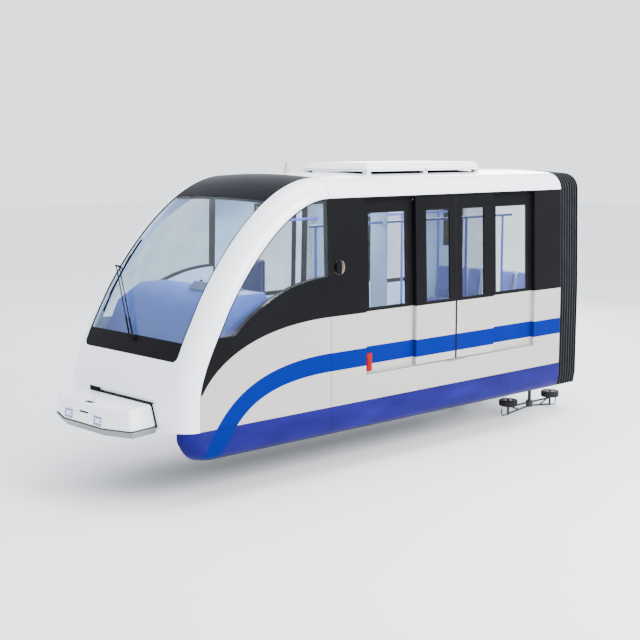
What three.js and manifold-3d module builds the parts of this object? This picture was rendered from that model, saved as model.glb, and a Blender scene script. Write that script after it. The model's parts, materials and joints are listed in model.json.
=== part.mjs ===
// Cab car of a light straddle monorail train, with its gangway bellows and its rear guide bogie.
// Frame: millimetres, +Z up, nose towards -X, left side at -Y.
// Origin: centre plane, on the beam's running surface, midway between the two axles.

import * as THREE from "three";
import { mergeVertices } from "three/addons/utils/BufferGeometryUtils.js";
import Module from "manifold-3d";

const wasm = await Module();
wasm.setup();

// Driving dimensions: places along the car
const NOSE_X = -4362;
const SEAM_X = -2156;
const BODY_END_X = 2354;
const GANGWAY_END_X = 2780;
const AXLE_X = 2566;
const POCKET_X = [-1566, 1754];
const DOORWAY_X = [-640, 834];
const DOOR_X = [-670, 864];
const DOOR_SEAM_X = 94;

// Driving dimensions: heights above the running surface
const SKIRT_LOW_Z = -100;
const SKIRT_TOP_Z = 246;
const FLOOR_Z = 576;
const CAB_FLOOR_Z = 950;
const WAIST_Z = 1330;
const WINDOW_Z = [1356, 2536];
const CANTRAIL_Z = 2718;
const ROOF_Z = 2988;

// Driving dimensions: section
const WAIST_HALF = 1150;
const CANTRAIL_HALF = 1109;
const EDGE_RADIUS_ROOF = 270;
const EDGE_RADIUS_FOOT = 240;
const CROWN_ROOF = 32;
const CROWN_FOOT = 12;
const SHELL = 50;
const WALL = 92;
const CAB_WALL = 60;
const POCKET_DEPTH = 62;
const LEAF = 45;
const SKIRT_SKIN = 28;
const GLASS = 10;
const FLOOR_SLAB = 50;

// Clearances: between touching pieces, between moving pieces, in a bearing
const FIT = 0.3;
const CLEAR = 5;
const BEARING = 0.6;

// Running gear
const TYRE_RADIUS = 245;
const RIM_RADIUS = 150;
const TYRE_Y = [140, 320];
const GUIDE_RADIUS = 135;
const BEAM_HALF = 350;
const GUIDE_REACH = 504;
const SPINE_LOW_Z = 400;
const SPINE_HALF = 90;

const PAINT = {
  white: { color: 0xf1f2f5, roughness: 0.25, metalness: 0.0 },
  lightGrey: { color: 0xd6d4d2, roughness: 0.3, metalness: 0.0 },
  blackPanel: { color: 0x2b2c30, roughness: 0.2, metalness: 0.0 },
  skirtBlue: { color: 0x2a33a4, roughness: 0.35, metalness: 0.0 },
  glass: { color: 0xdfe6ec, roughness: 0.05, metalness: 0.0 },
  rubber: { color: 0x232326, roughness: 0.8, metalness: 0.0 },
  steel: { color: 0x4a4c50, roughness: 0.5, metalness: 0.8 },
  deskBlue: { color: 0x6c84c4, roughness: 0.6, metalness: 0.0 },
  seatBlue: { color: 0x4a5a9a, roughness: 0.7, metalness: 0.0 },
  lamp: { color: 0xe8f0f8, roughness: 0.1, metalness: 0.0 },
  underside: { color: 0x55585e, roughness: 0.7, metalness: 0.3 },
};

// Solids and geometry

function solidOf(geometry) {
  geometry.deleteAttribute("normal");
  geometry.deleteAttribute("uv");
  const merged = mergeVertices(geometry, 1e-3);
  const vertProperties = new Float32Array(merged.attributes.position.array);
  const triVerts = new Uint32Array(merged.index.array);
  return new wasm.Manifold(new wasm.Mesh({ numProp: 3, vertProperties, triVerts }));
}

function geometryOf(solid) {
  const mesh = solid.getMesh();
  const geometry = new THREE.BufferGeometry();
  geometry.setAttribute("position", new THREE.BufferAttribute(new Float32Array(mesh.vertProperties), 3));
  geometry.setIndex(new THREE.BufferAttribute(new Uint32Array(mesh.triVerts), 1));
  return geometry;
}

function join(...solids) {
  return solids.reduce((whole, next) => whole.add(next));
}

function cut(solid, ...tools) {
  return tools.reduce((rest, tool) => rest.subtract(tool), solid);
}

function ordered(a, b) {
  return a < b ? [a, b] : [b, a];
}

function block(x0, x1, y0, y1, z0, z1) {
  const geometry = new THREE.BoxGeometry(x1 - x0, y1 - y0, z1 - z0);
  geometry.translate((x0 + x1) / 2, (y0 + y1) / 2, (z0 + z1) / 2);
  return solidOf(geometry);
}

function extruded(outline, depth) {
  const shape = new THREE.Shape(outline.map(([a, b]) => new THREE.Vector2(a, b)));
  return new THREE.ExtrudeGeometry(shape, { depth, bevelEnabled: false });
}

// Outline of [y, z] points carried from x0 to x1
function prismX(outline, x0, x1) {
  const geometry = extruded(outline, x1 - x0);
  geometry.applyMatrix4(new THREE.Matrix4().set(0, 0, 1, x0, 1, 0, 0, 0, 0, 1, 0, 0, 0, 0, 0, 1));
  return solidOf(geometry);
}

// Outline of [x, z] points carried from y0 to y1
function prismY(outline, y0, y1) {
  const geometry = extruded(outline, y1 - y0);
  geometry.applyMatrix4(new THREE.Matrix4().set(1, 0, 0, 0, 0, 0, -1, y1, 0, 1, 0, 0, 0, 0, 0, 1));
  return solidOf(geometry);
}

// Outline of [x, y] points carried from z0 to z1
function prismZ(outline, z0, z1) {
  const geometry = extruded(outline, z1 - z0);
  geometry.translate(0, 0, z0);
  return solidOf(geometry);
}

function roundY(radius, y0, y1, x, z, sides = 24) {
  const geometry = new THREE.CylinderGeometry(radius, radius, y1 - y0, sides);
  geometry.translate(x, (y0 + y1) / 2, z);
  return solidOf(geometry);
}

function roundZ(radius, z0, z1, x, y, sides = 24) {
  const geometry = new THREE.CylinderGeometry(radius, radius, z1 - z0, sides);
  geometry.rotateX(Math.PI / 2);
  geometry.translate(x, y, (z0 + z1) / 2);
  return solidOf(geometry);
}

// Round bar between two points
function bar(from, to, radius, sides = 8) {
  const start = new THREE.Vector3(...from);
  const end = new THREE.Vector3(...to);
  const along = end.clone().sub(start);
  const geometry = new THREE.CylinderGeometry(radius, radius, along.length(), sides);
  const upright = new THREE.Vector3(0, 1, 0);
  const turn = new THREE.Quaternion().setFromUnitVectors(upright, along.clone().normalize());
  geometry.applyQuaternion(turn);
  const middle = start.add(end).multiplyScalar(0.5);
  geometry.translate(middle.x, middle.y, middle.z);
  return solidOf(geometry);
}

// Closed body through a row of sections: place(i, a, b) puts each [a, b] point of loop i in space
function loft(loops, place) {
  const count = loops[0].length;
  const positions = [];
  loops.forEach((loop, i) => loop.forEach(([a, b]) => positions.push(...place(i, a, b))));
  const triangles = [];
  for (let i = 0; i + 1 < loops.length; i += 1) {
    for (let k = 0; k < count; k += 1) {
      const a = i * count + k;
      const b = i * count + ((k + 1) % count);
      triangles.push([a, b, b + count], [a, b + count, a + count]);
    }
  }
  const flatPoints = (loop) => loop.map(([a, b]) => new THREE.Vector2(a, b));
  const capOf = (loop) => THREE.ShapeUtils.triangulateShape(flatPoints(loop), []);
  const turned = THREE.ShapeUtils.area(flatPoints(loops[0])) < 0;
  const last = (loops.length - 1) * count;
  const startCap = capOf(loops[0]);
  const endCap = capOf(loops[loops.length - 1]);
  const flip = ([a, b, c]) => [a, c, b];
  const same = (face) => face;
  startCap.map(turned ? same : flip).forEach((face) => triangles.push(face));
  endCap.map(turned ? flip : same).forEach((face) => triangles.push(face.map((v) => v + last)));
  const geometry = new THREE.BufferGeometry();
  geometry.setAttribute("position", new THREE.Float32BufferAttribute(positions, 3));
  geometry.setIndex(triangles.flat());
  if (volumeOf(geometry) < 0) {
    geometry.setIndex(triangles.map(flip).flat());
  }
  return solidOf(geometry);
}

function volumeOf(geometry) {
  const index = geometry.index.array;
  const position = geometry.attributes.position;
  const [a, b, c] = [new THREE.Vector3(), new THREE.Vector3(), new THREE.Vector3()];
  let six = 0;
  for (let i = 0; i < index.length; i += 3) {
    a.fromBufferAttribute(position, index[i]);
    b.fromBufferAttribute(position, index[i + 1]);
    c.fromBufferAttribute(position, index[i + 2]);
    six += a.dot(b.cross(c));
  }
  return six / 6;
}

// The same geometry on the other side of the centre plane
function mirrored(geometry) {
  const copy = geometry.clone();
  copy.scale(1, -1, 1);
  const index = copy.index.array;
  for (let i = 0; i < index.length; i += 3) {
    [index[i + 1], index[i + 2]] = [index[i + 2], index[i + 1]];
  }
  return copy;
}

const car = new THREE.Group();
car.name = "monorail_car";

function addGeometry(name, geometry, paint) {
  const mesh = new THREE.Mesh(geometry, new THREE.MeshStandardMaterial(PAINT[paint]));
  mesh.name = name;
  car.add(mesh);
}

function add(name, solid, paint) {
  addGeometry(name, geometryOf(solid), paint);
}

// A piece modelled on the left side, and its twin on the right
function addPair(stem, solid, paint) {
  const left = geometryOf(solid);
  addGeometry(`${stem}_left`, left, paint);
  addGeometry(`${stem}_right`, mirrored(left), paint);
}

// Body side: half width of the skin at a height
function skin(z) {
  const rise = Math.max(0, z - WAIST_Z) / (CANTRAIL_Z - WAIST_Z);
  return WAIST_HALF - (WAIST_HALF - CANTRAIL_HALF) * rise;
}

// Slab of the left wall between two depths below the skin, as [y, z] points
function wallSlab(outer, inner, z0, z1) {
  const heights = [z0, ...(z0 < WAIST_Z && z1 > WAIST_Z ? [WAIST_Z] : []), z1];
  const outside = heights.map((z) => [-skin(z) + outer, z]);
  const inside = heights.map((z) => [-skin(z) + inner, z]);
  return [...outside, ...inside.reverse()];
}

// Nose profile: straight up from the foot, then two cubic curves to the roof
const PROFILE = {
  foot: [NOSE_X, SKIRT_TOP_Z],
  bend: [NOSE_X, 560],
  bendPull: 360,
  knee: [-3950, 1606],
  kneeAngle: 62,
  kneePull: [240, 160],
  roof: [SEAM_X, ROOF_Z],
  roofPull: 938,
};

function noseProfile() {
  const lean = THREE.MathUtils.degToRad(PROFILE.kneeAngle);
  const corners = [PROFILE.foot, PROFILE.bend, PROFILE.knee, PROFILE.roof];
  const [foot, bend, knee, roof] = corners.map((place) => new THREE.Vector2(...place));
  const along = new THREE.Vector2(Math.cos(lean), Math.sin(lean));
  const aboveBend = new THREE.Vector2(bend.x, bend.y + PROFILE.bendPull);
  const belowKnee = knee.clone().addScaledVector(along, -PROFILE.kneePull[0]);
  const aboveKnee = knee.clone().addScaledVector(along, PROFILE.kneePull[1]);
  const beforeRoof = new THREE.Vector2(roof.x - PROFILE.roofPull, roof.y);
  const path = new THREE.CurvePath();
  path.add(new THREE.LineCurve(foot, bend));
  path.add(new THREE.CubicBezierCurve(bend, aboveBend, belowKnee, knee));
  path.add(new THREE.CubicBezierCurve(knee, aboveKnee, beforeRoof, roof));
  return path;
}

const profile = noseProfile();
const PROFILE_LENGTH = profile.getLength();

// Station at a share u of the profile's length: place, inward normal, edge radius, crown and half width
function station(u) {
  const point = profile.getPointAt(u);
  const tangent = u >= 1 ? new THREE.Vector2(1, 0) : profile.getTangentAt(u);
  const inward = new THREE.Vector2(tangent.y, -tangent.x);
  const radius = EDGE_RADIUS_FOOT + (EDGE_RADIUS_ROOF - EDGE_RADIUS_FOOT) * u;
  const crown = CROWN_FOOT + (CROWN_ROOF - CROWN_FOOT) * u;
  const half = skin(point.y + radius * inward.y);
  return { point, inward, radius, crown, half };
}

// Share of the profile's length where it reaches a height
function shareAtHeight(z) {
  let [low, high] = [0, 1];
  for (let i = 0; i < 40; i += 1) {
    const middle = (low + high) / 2;
    if (profile.getPointAt(middle).y < z) {
      low = middle;
    } else {
      high = middle;
    }
  }
  return (low + high) / 2;
}

// Arch over the body from the left skin to the right one, as [y, depth] points, a thickness inside
const EDGE_STEPS = 6;
const CROWN_STEPS = 6;

function arch({ half, radius, crown }, thickness) {
  const flat = half - radius;
  const edge = [];
  for (let i = 0; i < EDGE_STEPS; i += 1) {
    const angle = (Math.PI / 2) * (1 - i / EDGE_STEPS);
    const y = flat + (radius - thickness) * Math.sin(angle);
    const depth = crown + thickness + (radius - crown - thickness) * (1 - Math.cos(angle));
    edge.push([-y, depth]);
  }
  const top = [];
  for (let i = 0; i <= CROWN_STEPS; i += 1) {
    const share = (2 * i) / CROWN_STEPS - 1;
    top.push([share * flat, thickness + crown * share * share]);
  }
  const other = edge.map(([y, depth]) => [-y, depth]).reverse();
  return [...edge, ...top, ...other];
}

function placeOn(stations) {
  return (i, y, depth) => {
    const { point, inward } = stations[i];
    return [point.x + inward.x * depth, y, point.y + inward.y * depth];
  };
}

const noseShares = [0, ...Array.from({ length: 24 }, (_, i) => 0.085 + (0.915 * i) / 23)];

// Windscreen opening with rounded lower corners, and the height where the dark cap starts
const SCREEN_LOW_Z = 1002;
const SCREEN_CORNER = 80;
const CAP_FRONT_Z = 2726;

// Screen opening: half width of the flat front at each station, narrowed at the rounded lower corners
function screenLoops(lowZ, shrink, depthFrom, depthTo) {
  const start = shareAtHeight(lowZ);
  const shares = [];
  for (let i = 0; i < 5; i += 1) {
    shares.push(start + (SCREEN_CORNER * (1 - Math.cos((Math.PI / 2) * (i / 5)))) / PROFILE_LENGTH);
  }
  const round = start + SCREEN_CORNER / PROFILE_LENGTH;
  noseShares.filter((u) => u > round + 0.004).forEach((u) => shares.push(u));
  const stations = shares.map((u) => station(u));
  const loops = stations.map((place, i) => {
    const rise = Math.min(1, ((shares[i] - start) * PROFILE_LENGTH) / SCREEN_CORNER);
    const narrow = SCREEN_CORNER * (1 - Math.sqrt(1 - (1 - rise) * (1 - rise)));
    const half = place.half - place.radius - shrink - narrow;
    const steps = Array.from({ length: CROWN_STEPS + 1 }, (_, k) => (2 * k) / CROWN_STEPS - 1);
    const bow = (share) => place.crown * ((share * half) / (place.half - place.radius)) ** 2;
    const outer = steps.map((share) => [share * half, bow(share) + depthFrom]);
    const inner = steps.map((share) => [share * half, bow(share) + depthTo]).reverse();
    return [...outer, ...inner];
  });
  return { loops, stations };
}

// Slot in the front panel, over the coupler housing
const NOSE_SLOT = { depth: 24, halfY: 640, z: [517, 548] };

function noseShell() {
  const stations = noseShares.map((u) => station(u));
  const loops = stations.map((place) => [...arch(place, 0), ...arch(place, SHELL).reverse()]);
  const hoop = loft(loops, placeOn(stations));
  const opening = screenLoops(SCREEN_LOW_Z, 0, -40, SHELL + 60);
  const lastPlace = { ...station(1), point: new THREE.Vector2(SEAM_X + 60, ROOF_Z) };
  opening.stations.push(lastPlace);
  opening.loops.push(opening.loops[opening.loops.length - 1]);
  const { depth, halfY, z } = NOSE_SLOT;
  const slot = block(NOSE_X - 20, NOSE_X + depth, -halfY, halfY, ...z);
  return cut(hoop, loft(opening.loops, placeOn(opening.stations)), slot);
}

function screenPane(depth) {
  const pane = screenLoops(SCREEN_LOW_Z + FIT, FIT, 0, depth);
  return loft(pane.loops, placeOn(pane.stations));
}

// Everything ahead of the line where the dark cap starts, square to the profile there
function aheadOfCap(gap) {
  const place = station(shareAtHeight(CAP_FRONT_Z));
  const along = new THREE.Vector2(-place.inward.y, place.inward.x);
  const at = (forward, depth) => [
    place.point.x + along.x * forward + place.inward.x * depth,
    place.point.y + along.y * forward + place.inward.y * depth,
  ];
  const [reach, deep] = [4000, 300];
  const outline = [at(-reach, deep * 8), at(-reach, -deep), at(-gap, -deep), at(-gap, deep)];
  return prismY(outline, -WAIST_HALF, WAIST_HALF);
}

const PANE_DEPTH = 16;
const CAP_DEPTH = 40;

function windscreen() {
  return screenPane(PANE_DEPTH).intersect(aheadOfCap(FIT));
}

function windscreenCap() {
  const behind = cut(screenPane(CAP_DEPTH), aheadOfCap(-FIT));
  return cut(behind, block(SEAM_X - FIT, SEAM_X + 50, -WAIST_HALF, WAIST_HALF, 2500, ROOF_Z + 50));
}

// Cab side: inner edge of the white hoop, at the edge radius below the profile, as [x, z] points
function archEdge(extra, shares) {
  return shares.map((u) => {
    const { point, inward, radius } = station(u);
    return [point.x + inward.x * (radius + extra), point.y + inward.y * (radius + extra)];
  });
}

// Top line of the dark panel, which is the lower edge of the cab window
const CAB_SILL = [
  [-3830, 1256],
  [-3606, 1256],
  [-3466, 1376],
  [-3226, 1536],
  [-2846, 1696],
  [-2566, 1776],
  [-2196, 1802],
];
const CAB_WINDOW_EDGE = 24;

function cabWindowOutline(shrink) {
  const lowest = CAB_SILL[0][1] + 30;
  const hoopEdge = archEdge(CAB_WINDOW_EDGE + shrink, noseShares);
  const upper = hoopEdge.filter(([x, z]) => z > lowest && x < SEAM_X - 60);
  const rear = SEAM_X - CAB_WINDOW_EDGE - shrink;
  const topZ = CANTRAIL_Z - CAB_WINDOW_EDGE - shrink;
  const sill = CAB_SILL.map(([x, z], i) => [Math.min(i === 0 ? x + 2 * shrink : x, rear), z + shrink]);
  return [...upper, [rear, topZ], ...sill.reverse()];
}

function cabSide() {
  const edge = archEdge(FIT, noseShares).slice(0, -1);
  edge[0][1] = SKIRT_TOP_Z + FIT;
  const rear = SEAM_X - FIT;
  const outline = [...edge, [rear, CANTRAIL_Z - FIT], [rear, SKIRT_TOP_Z + FIT]];
  const panel = prismY(outline, -WAIST_HALF - 10, -900);
  const slab = prismX(wallSlab(0, CAB_WALL, SKIRT_TOP_Z, CANTRAIL_Z), NOSE_X, SEAM_X);
  const window = prismY(cabWindowOutline(0), -WAIST_HALF - 10, -900);
  return cut(panel.intersect(slab), window);
}

function cabWindow() {
  const pane = prismY(cabWindowOutline(FIT), -WAIST_HALF - 10, -900);
  const slab = prismX(wallSlab(1, 1 + GLASS, SKIRT_TOP_Z, CANTRAIL_Z), NOSE_X, SEAM_X);
  return pane.intersect(slab);
}

// Saloon walls with the sliding doors' pockets, the doorway and the windows in the pockets
const WINDOWS_X = { front: [-1470, -780], rear: [964, 1666] };
const POCKET_TOP_Z = 2700;
const DOORWAY_TOP_Z = 2600;
const RAIL_Z = [2636, 2656];
const RAIL_PROUD = 12;
const HOOK = 14;

function sideWall() {
  const [x0, x1] = [SEAM_X + FIT, BODY_END_X];
  const wall = prismX(wallSlab(0, WALL, SKIRT_TOP_Z + FIT, CANTRAIL_Z), x0, x1);
  const pocket = prismX(wallSlab(-20, POCKET_DEPTH, FLOOR_Z, POCKET_TOP_Z), ...POCKET_X);
  const rail = prismX(wallSlab(POCKET_DEPTH - RAIL_PROUD, POCKET_DEPTH + 5, ...RAIL_Z), ...POCKET_X);
  const doorway = block(...DOORWAY_X, -1200, -900, FLOOR_Z, DOORWAY_TOP_Z);
  const windows = Object.values(WINDOWS_X).map(([a, b]) => block(a, b, -1200, -900, ...WINDOW_Z));
  return cut(join(cut(wall, pocket), rail), doorway, ...windows);
}

function saloonWindow([x0, x1]) {
  const [z0, z1] = WINDOW_Z;
  const depth = POCKET_DEPTH + 6;
  return prismX(wallSlab(depth, depth + GLASS, z0 + FIT, z1 - FIT), x0 + FIT, x1 - FIT);
}

// Door leaves hang by a hook on the rail inside the pocket
const LEAF_GAP = 2.5;
const LEAVES = [
  { stem: "door_leaf_front", x: [DOOR_X[0], DOOR_SEAM_X - LEAF_GAP], window: [-490, -10] },
  { stem: "door_leaf_rear", x: [DOOR_SEAM_X + LEAF_GAP, DOOR_X[1]], window: [202, 682] },
];

function doorLeaf({ x, window }) {
  const leaf = prismX(wallSlab(0, LEAF, FLOOR_Z + CLEAR, POCKET_TOP_Z - CLEAR), ...x);
  const hook = prismX(wallSlab(LEAF - 5, LEAF + HOOK, RAIL_Z[1] + 0.5, RAIL_Z[1] + 16), ...x);
  return cut(join(leaf, hook), block(...window, -1200, -900, ...WINDOW_Z));
}

function doorGlass({ window }) {
  const [z0, z1] = WINDOW_Z;
  return prismX(wallSlab(12, 12 + GLASS, z0 + FIT, z1 - FIT), window[0] + FIT, window[1] - FIT);
}

// Roof shell behind the seam
const roofStation = station(1);

function roofOutline(thickness) {
  return arch(roofStation, thickness).map(([y, depth]) => [y, ROOF_Z - depth]);
}

function roofShell() {
  const outline = [...roofOutline(0), ...roofOutline(SHELL).reverse()];
  outline.forEach((place) => {
    place[1] = Math.max(place[1], CANTRAIL_Z + FIT);
  });
  return prismX(outline.reverse(), SEAM_X + FIT, BODY_END_X);
}

// Closed section under the roof's outside, widened by a gap, to fit what stands on the roof
function roofEnvelope(gap, x0, x1) {
  const over = roofOutline(0).map(([y, z]) => [y, z + gap]);
  return prismX([...over, [CANTRAIL_HALF, 2000], [-CANTRAIL_HALF, 2000]].reverse(), x0, x1);
}

// Rear wall of the saloon, with the gangway passage
const PASSAGE_HALF = 620;
const PASSAGE_TOP_Z = 2560;
const END_WALL = 50;

function endWall() {
  const inset = 0.4;
  const heights = [[FLOOR_Z, FIT], [WAIST_Z, 0], [CANTRAIL_Z, 0]];
  const side = heights.map(([z, lift]) => [skin(z) - WALL - inset, z + lift]);
  const top = roofOutline(SHELL + inset).filter(([y]) => Math.abs(y) < side[2][0]);
  const left = side.map(([y, z]) => [-y, z]);
  const outline = [...left, ...top, ...side.reverse()].reverse();
  const plate = prismX(outline, BODY_END_X - END_WALL, BODY_END_X);
  const passage = block(2000, 2600, -PASSAGE_HALF, PASSAGE_HALF, FLOOR_Z - 50, PASSAGE_TOP_Z);
  return cut(plate, passage);
}

// Skirt: curved under at its lower edge, rounded off at the nose corner, bracketed to a sill behind it
const SKIRT_SECTION = [
  [WAIST_HALF, SKIRT_TOP_Z],
  [WAIST_HALF, 120],
  [1143, 20],
  [1122, -50],
  [1078, SKIRT_LOW_Z],
];
const SKIRT_LIFT = 16;
const SILL = { x: [-4000, BODY_END_X - 4], y: [930, 1010], lowZ: 200 };
const BRACKET = { x: [-3900, -2566, -1100, 366, 1900], half: 30, z: [140, 240] };

function skirt() {
  const inside = SKIRT_SECTION.map(([y, z]) => [y - SKIRT_SKIN, z + (z < 0 ? SKIRT_LIFT : 0)]);
  const outline = [...SKIRT_SECTION, ...inside.reverse()].map(([y, z]) => [-y, z]);
  const run = prismX(outline, NOSE_X + EDGE_RADIUS_FOOT, BODY_END_X);
  const panel = cut(join(run, cornerTurn(outline)), frontRake());
  const sill = block(...SILL.x, -SILL.y[1], -SILL.y[0], SILL.lowZ, SLAB_LOW_Z - FIT);
  const brackets = BRACKET.x.map((x) => {
    const [x0, x1] = [x - BRACKET.half, x + BRACKET.half];
    return block(x0, x1, SKIRT_SKIN - 5 - WAIST_HALF, 5 - SILL.y[1], ...BRACKET.z);
  });
  return join(panel, sill, ...brackets);
}

// The skirt's section turned round the nose corner, about an upright axis
function cornerTurn(outline) {
  const [axisX, axisY] = [NOSE_X + EDGE_RADIUS_FOOT, -(WAIST_HALF - EDGE_RADIUS_FOOT)];
  const steps = 6;
  const sweep = THREE.MathUtils.degToRad(64);
  const loops = Array.from({ length: steps + 1 }, () => outline);
  return loft(loops, (i, y, z) => {
    const angle = (sweep * i) / steps;
    const reach = axisY - y;
    return [axisX - reach * Math.sin(angle) + (i === 0 ? 1 : 0), axisY - reach * Math.cos(angle), z];
  });
}

// What the side view's rounded lower nose corner takes off the skirt
const RAKE = [
  [-4364, 246],
  [-4314, 160],
  [-4288, 80],
  [-4232, 10],
  [-4138, -66],
  [-3998, SKIRT_LOW_Z - 6],
];

function frontRake() {
  const outline = [...RAKE, [-3998, -200], [-4600, -200], [-4600, 246]].reverse();
  return prismY(outline, -1300, -700);
}

// Floor slab with shallow ribs under it, and the raised cab floor
const SLAB_LOW_Z = FLOOR_Z - FLOOR_SLAB;
const SLAB_NOSE = [[-4280, -830], [-4230, -950], [-4110, -1040]];
const RIB = { x: [-3900, -3200, -1700, -500, 700, 1900], half: 50, lowZ: 500, outY: 925 };
const CAB_FLOOR_X = [-3250, -2300];

function underframe() {
  const half = WAIST_HALF - WALL - FIT;
  const left = [...SLAB_NOSE, [SEAM_X, -half], [BODY_END_X, -half]];
  const right = left.map(([x, y]) => [x, -y]).reverse();
  const slab = prismZ([...left, ...right], SLAB_LOW_Z, FLOOR_Z);
  const ribs = RIB.x.flatMap((x) => [-1, 1].map((side) => {
    const [a, b] = ordered(side * (SPINE_HALF + FIT), side * RIB.outY);
    return block(x - RIB.half, x + RIB.half, a, b, RIB.lowZ, SLAB_LOW_Z + 5);
  }));
  const cabFloor = block(...CAB_FLOOR_X, -half, half, FLOOR_Z - 5, CAB_FLOOR_Z);
  return join(slab, ...ribs, cabFloor);
}

// Spine under the slab, which carries both bogie pivots
const SPINE_X = [-3900, AXLE_X + 160];

function spine() {
  return block(...SPINE_X, -SPINE_HALF, SPINE_HALF, SPINE_LOW_Z + FIT, SLAB_LOW_Z - FIT);
}

// Gangway bellows: an arch of folds, open underneath over the bogie
const FOLD_COUNT = 7;
const FOLD_RIDGE = 16;
const FOLD_VALLEY = 52;
const FOLD_CLOTH = 30;
const END_RING = 18;

function gangwayOutline(inset) {
  const half = WAIST_HALF - inset;
  const sides = [[half - 30, SKIRT_LOW_Z + 6], [half, 60], [half, WAIST_Z]];
  const left = sides.map(([y, z]) => [-y, z]);
  return [...left, ...roofOutline(inset), ...sides.reverse()];
}

function gangwayLoop(outer, inner) {
  return [...gangwayOutline(outer), ...gangwayOutline(inner).reverse()];
}

function bellows() {
  const start = BODY_END_X + FIT;
  const end = GANGWAY_END_X - END_RING - FIT;
  const pitch = (end - start) / (FOLD_COUNT * 2);
  const places = Array.from({ length: FOLD_COUNT * 2 + 1 }, (_, i) => start + pitch * i);
  const loops = places.map((_, i) => {
    const inset = i % 2 ? FOLD_RIDGE : FOLD_VALLEY;
    return gangwayLoop(inset, inset + FOLD_CLOTH);
  });
  return loft(loops, (i, y, z) => [places[i], y, z]);
}

function gangwayRing() {
  const loop = gangwayLoop(FOLD_RIDGE, FOLD_VALLEY + FOLD_CLOTH);
  return prismX(loop.reverse(), GANGWAY_END_X - END_RING, GANGWAY_END_X);
}

function gangwayFloor() {
  const half = PASSAGE_HALF - 10;
  return block(BODY_END_X + FIT, GANGWAY_END_X - END_RING, -half, half, SLAB_LOW_Z + 5 + FIT, FLOOR_Z);
}

// Roof unit: a lid with sloping sides on six small feet, split across its middle
const ROOF_UNIT = {
  low: { z: 3006, x: [-1026, 1210], half: 600 },
  top: { z: 3116, x: [-952, 1156], half: 536 },
  footX: [-1000, 60, 1110],
  footLength: 74,
  footY: [500, 580],
  split: [88, 96],
  splitDepth: 14,
};

function roofUnit() {
  const { low, top, footX, footLength, footY, split, splitDepth } = ROOF_UNIT;
  const corners = ({ x: [x0, x1], half }) => [[x0, -half], [x1, -half], [x1, half], [x0, half]];
  const heights = [low.z, top.z];
  const lid = loft([corners(low), corners(top)], (i, x, y) => [x, y, heights[i]]);
  const groove = block(...split, -low.half, low.half, top.z - splitDepth, top.z + 1);
  const feet = footX.flatMap((x) => [-1, 1].map((side) => {
    const [a, b] = ordered(side * footY[0], side * footY[1]);
    return block(x, x + footLength, a, b, ROOF_Z - 80, low.z + 5);
  }));
  const [x0, x1] = low.x;
  return cut(join(cut(lid, groove), ...feet), roofEnvelope(0.4, x0 - 50, x1 + 50));
}

// Aerial: a fin on a small base
const AERIAL = { x: -1830, topZ: 3128, halfY: 16 };

function aerial() {
  const { x, topZ, halfY } = AERIAL;
  const outline = [[-44, 2900], [40, 2900], [40, 3000], [8, topZ], [-8, topZ], [-44, 3000]];
  const fin = prismY(outline.map(([along, z]) => [x + along, z]), -halfY, halfY);
  return cut(fin, roofEnvelope(0.4, x - 100, x + 100));
}

// Coupler housing ahead of the nose: a base plate, and a box that narrows upwards, as [x, half width] plans
const COUPLER = {
  base: { z: [202, 276], plan: [[NOSE_X - FIT, 703], [-4745, 770], [-4876, 395]] },
  boxLow: { z: 275, plan: [[NOSE_X - FIT, 690], [-4740, 745], [-4868, 390]] },
  boxTop: { z: 514, plan: [[NOSE_X - FIT, 600], [-4735, 735], [-4840, 380]] },
  slotHalf: 90,
  slotDepth: 14,
  faceSlotZ: [398, 420],
  topSlotX: [-4792, -4770],
};
const LAMP = { y: [205, 375], z: [300, 410], proud: 8 };

function bothSides(plan) {
  return [...plan, ...plan.map(([x, y]) => [x, -y]).reverse()];
}

// Where the box's front face stands at a height
function boxFaceX(z) {
  const { boxLow, boxTop } = COUPLER;
  const rise = (z - boxLow.z) / (boxTop.z - boxLow.z);
  return THREE.MathUtils.lerp(boxLow.plan[2][0], boxTop.plan[2][0], rise);
}

function couplerHousing() {
  const { base, boxLow, boxTop, slotHalf, slotDepth, faceSlotZ, topSlotX } = COUPLER;
  const plate = prismZ(bothSides(base.plan), ...base.z);
  const heights = [boxLow.z, boxTop.z];
  const box = loft([bothSides(boxLow.plan), bothSides(boxTop.plan)], (i, x, y) => [x, y, heights[i]]);
  const faceX = boxFaceX(faceSlotZ[0]);
  const faceSlot = block(faceX - 20, faceX + slotDepth, -slotHalf, slotHalf, ...faceSlotZ);
  const topSlot = block(...topSlotX, -slotHalf, slotHalf, boxTop.z - slotDepth, boxTop.z + 10);
  return cut(join(plate, box), faceSlot, topSlot);
}

function headlamp() {
  const outline = LAMP.z.map((z) => [boxFaceX(z) - FIT, z]);
  const front = outline.map(([x, z]) => [x - LAMP.proud, z]).reverse();
  return prismY([...outline, ...front], -LAMP.y[1], -LAMP.y[0]);
}

// Point on the windscreen at a height, a way to the side, and a stand-off ahead of the glass
function onScreen(z, y, off) {
  const { point, inward, crown, half, radius } = station(shareAtHeight(z));
  const depth = crown * (y / (half - radius)) ** 2 - off;
  return [point.x + inward.x * depth, y, point.y + inward.y * depth];
}

// Wiper: twin arms from a hub to a joint that stands off the glass, and a blade along the glass
const WIPER = {
  hub: { z: 1190, y: 20, proud: 34, radius: 26 },
  joint: { z: 1870, y: 630, proud: 86 },
  blade: { z: [1320, 1540, 1760, 1980, 2196], y: 740, proud: 20, radius: 12 },
  armSides: [-14, 14],
};

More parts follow.
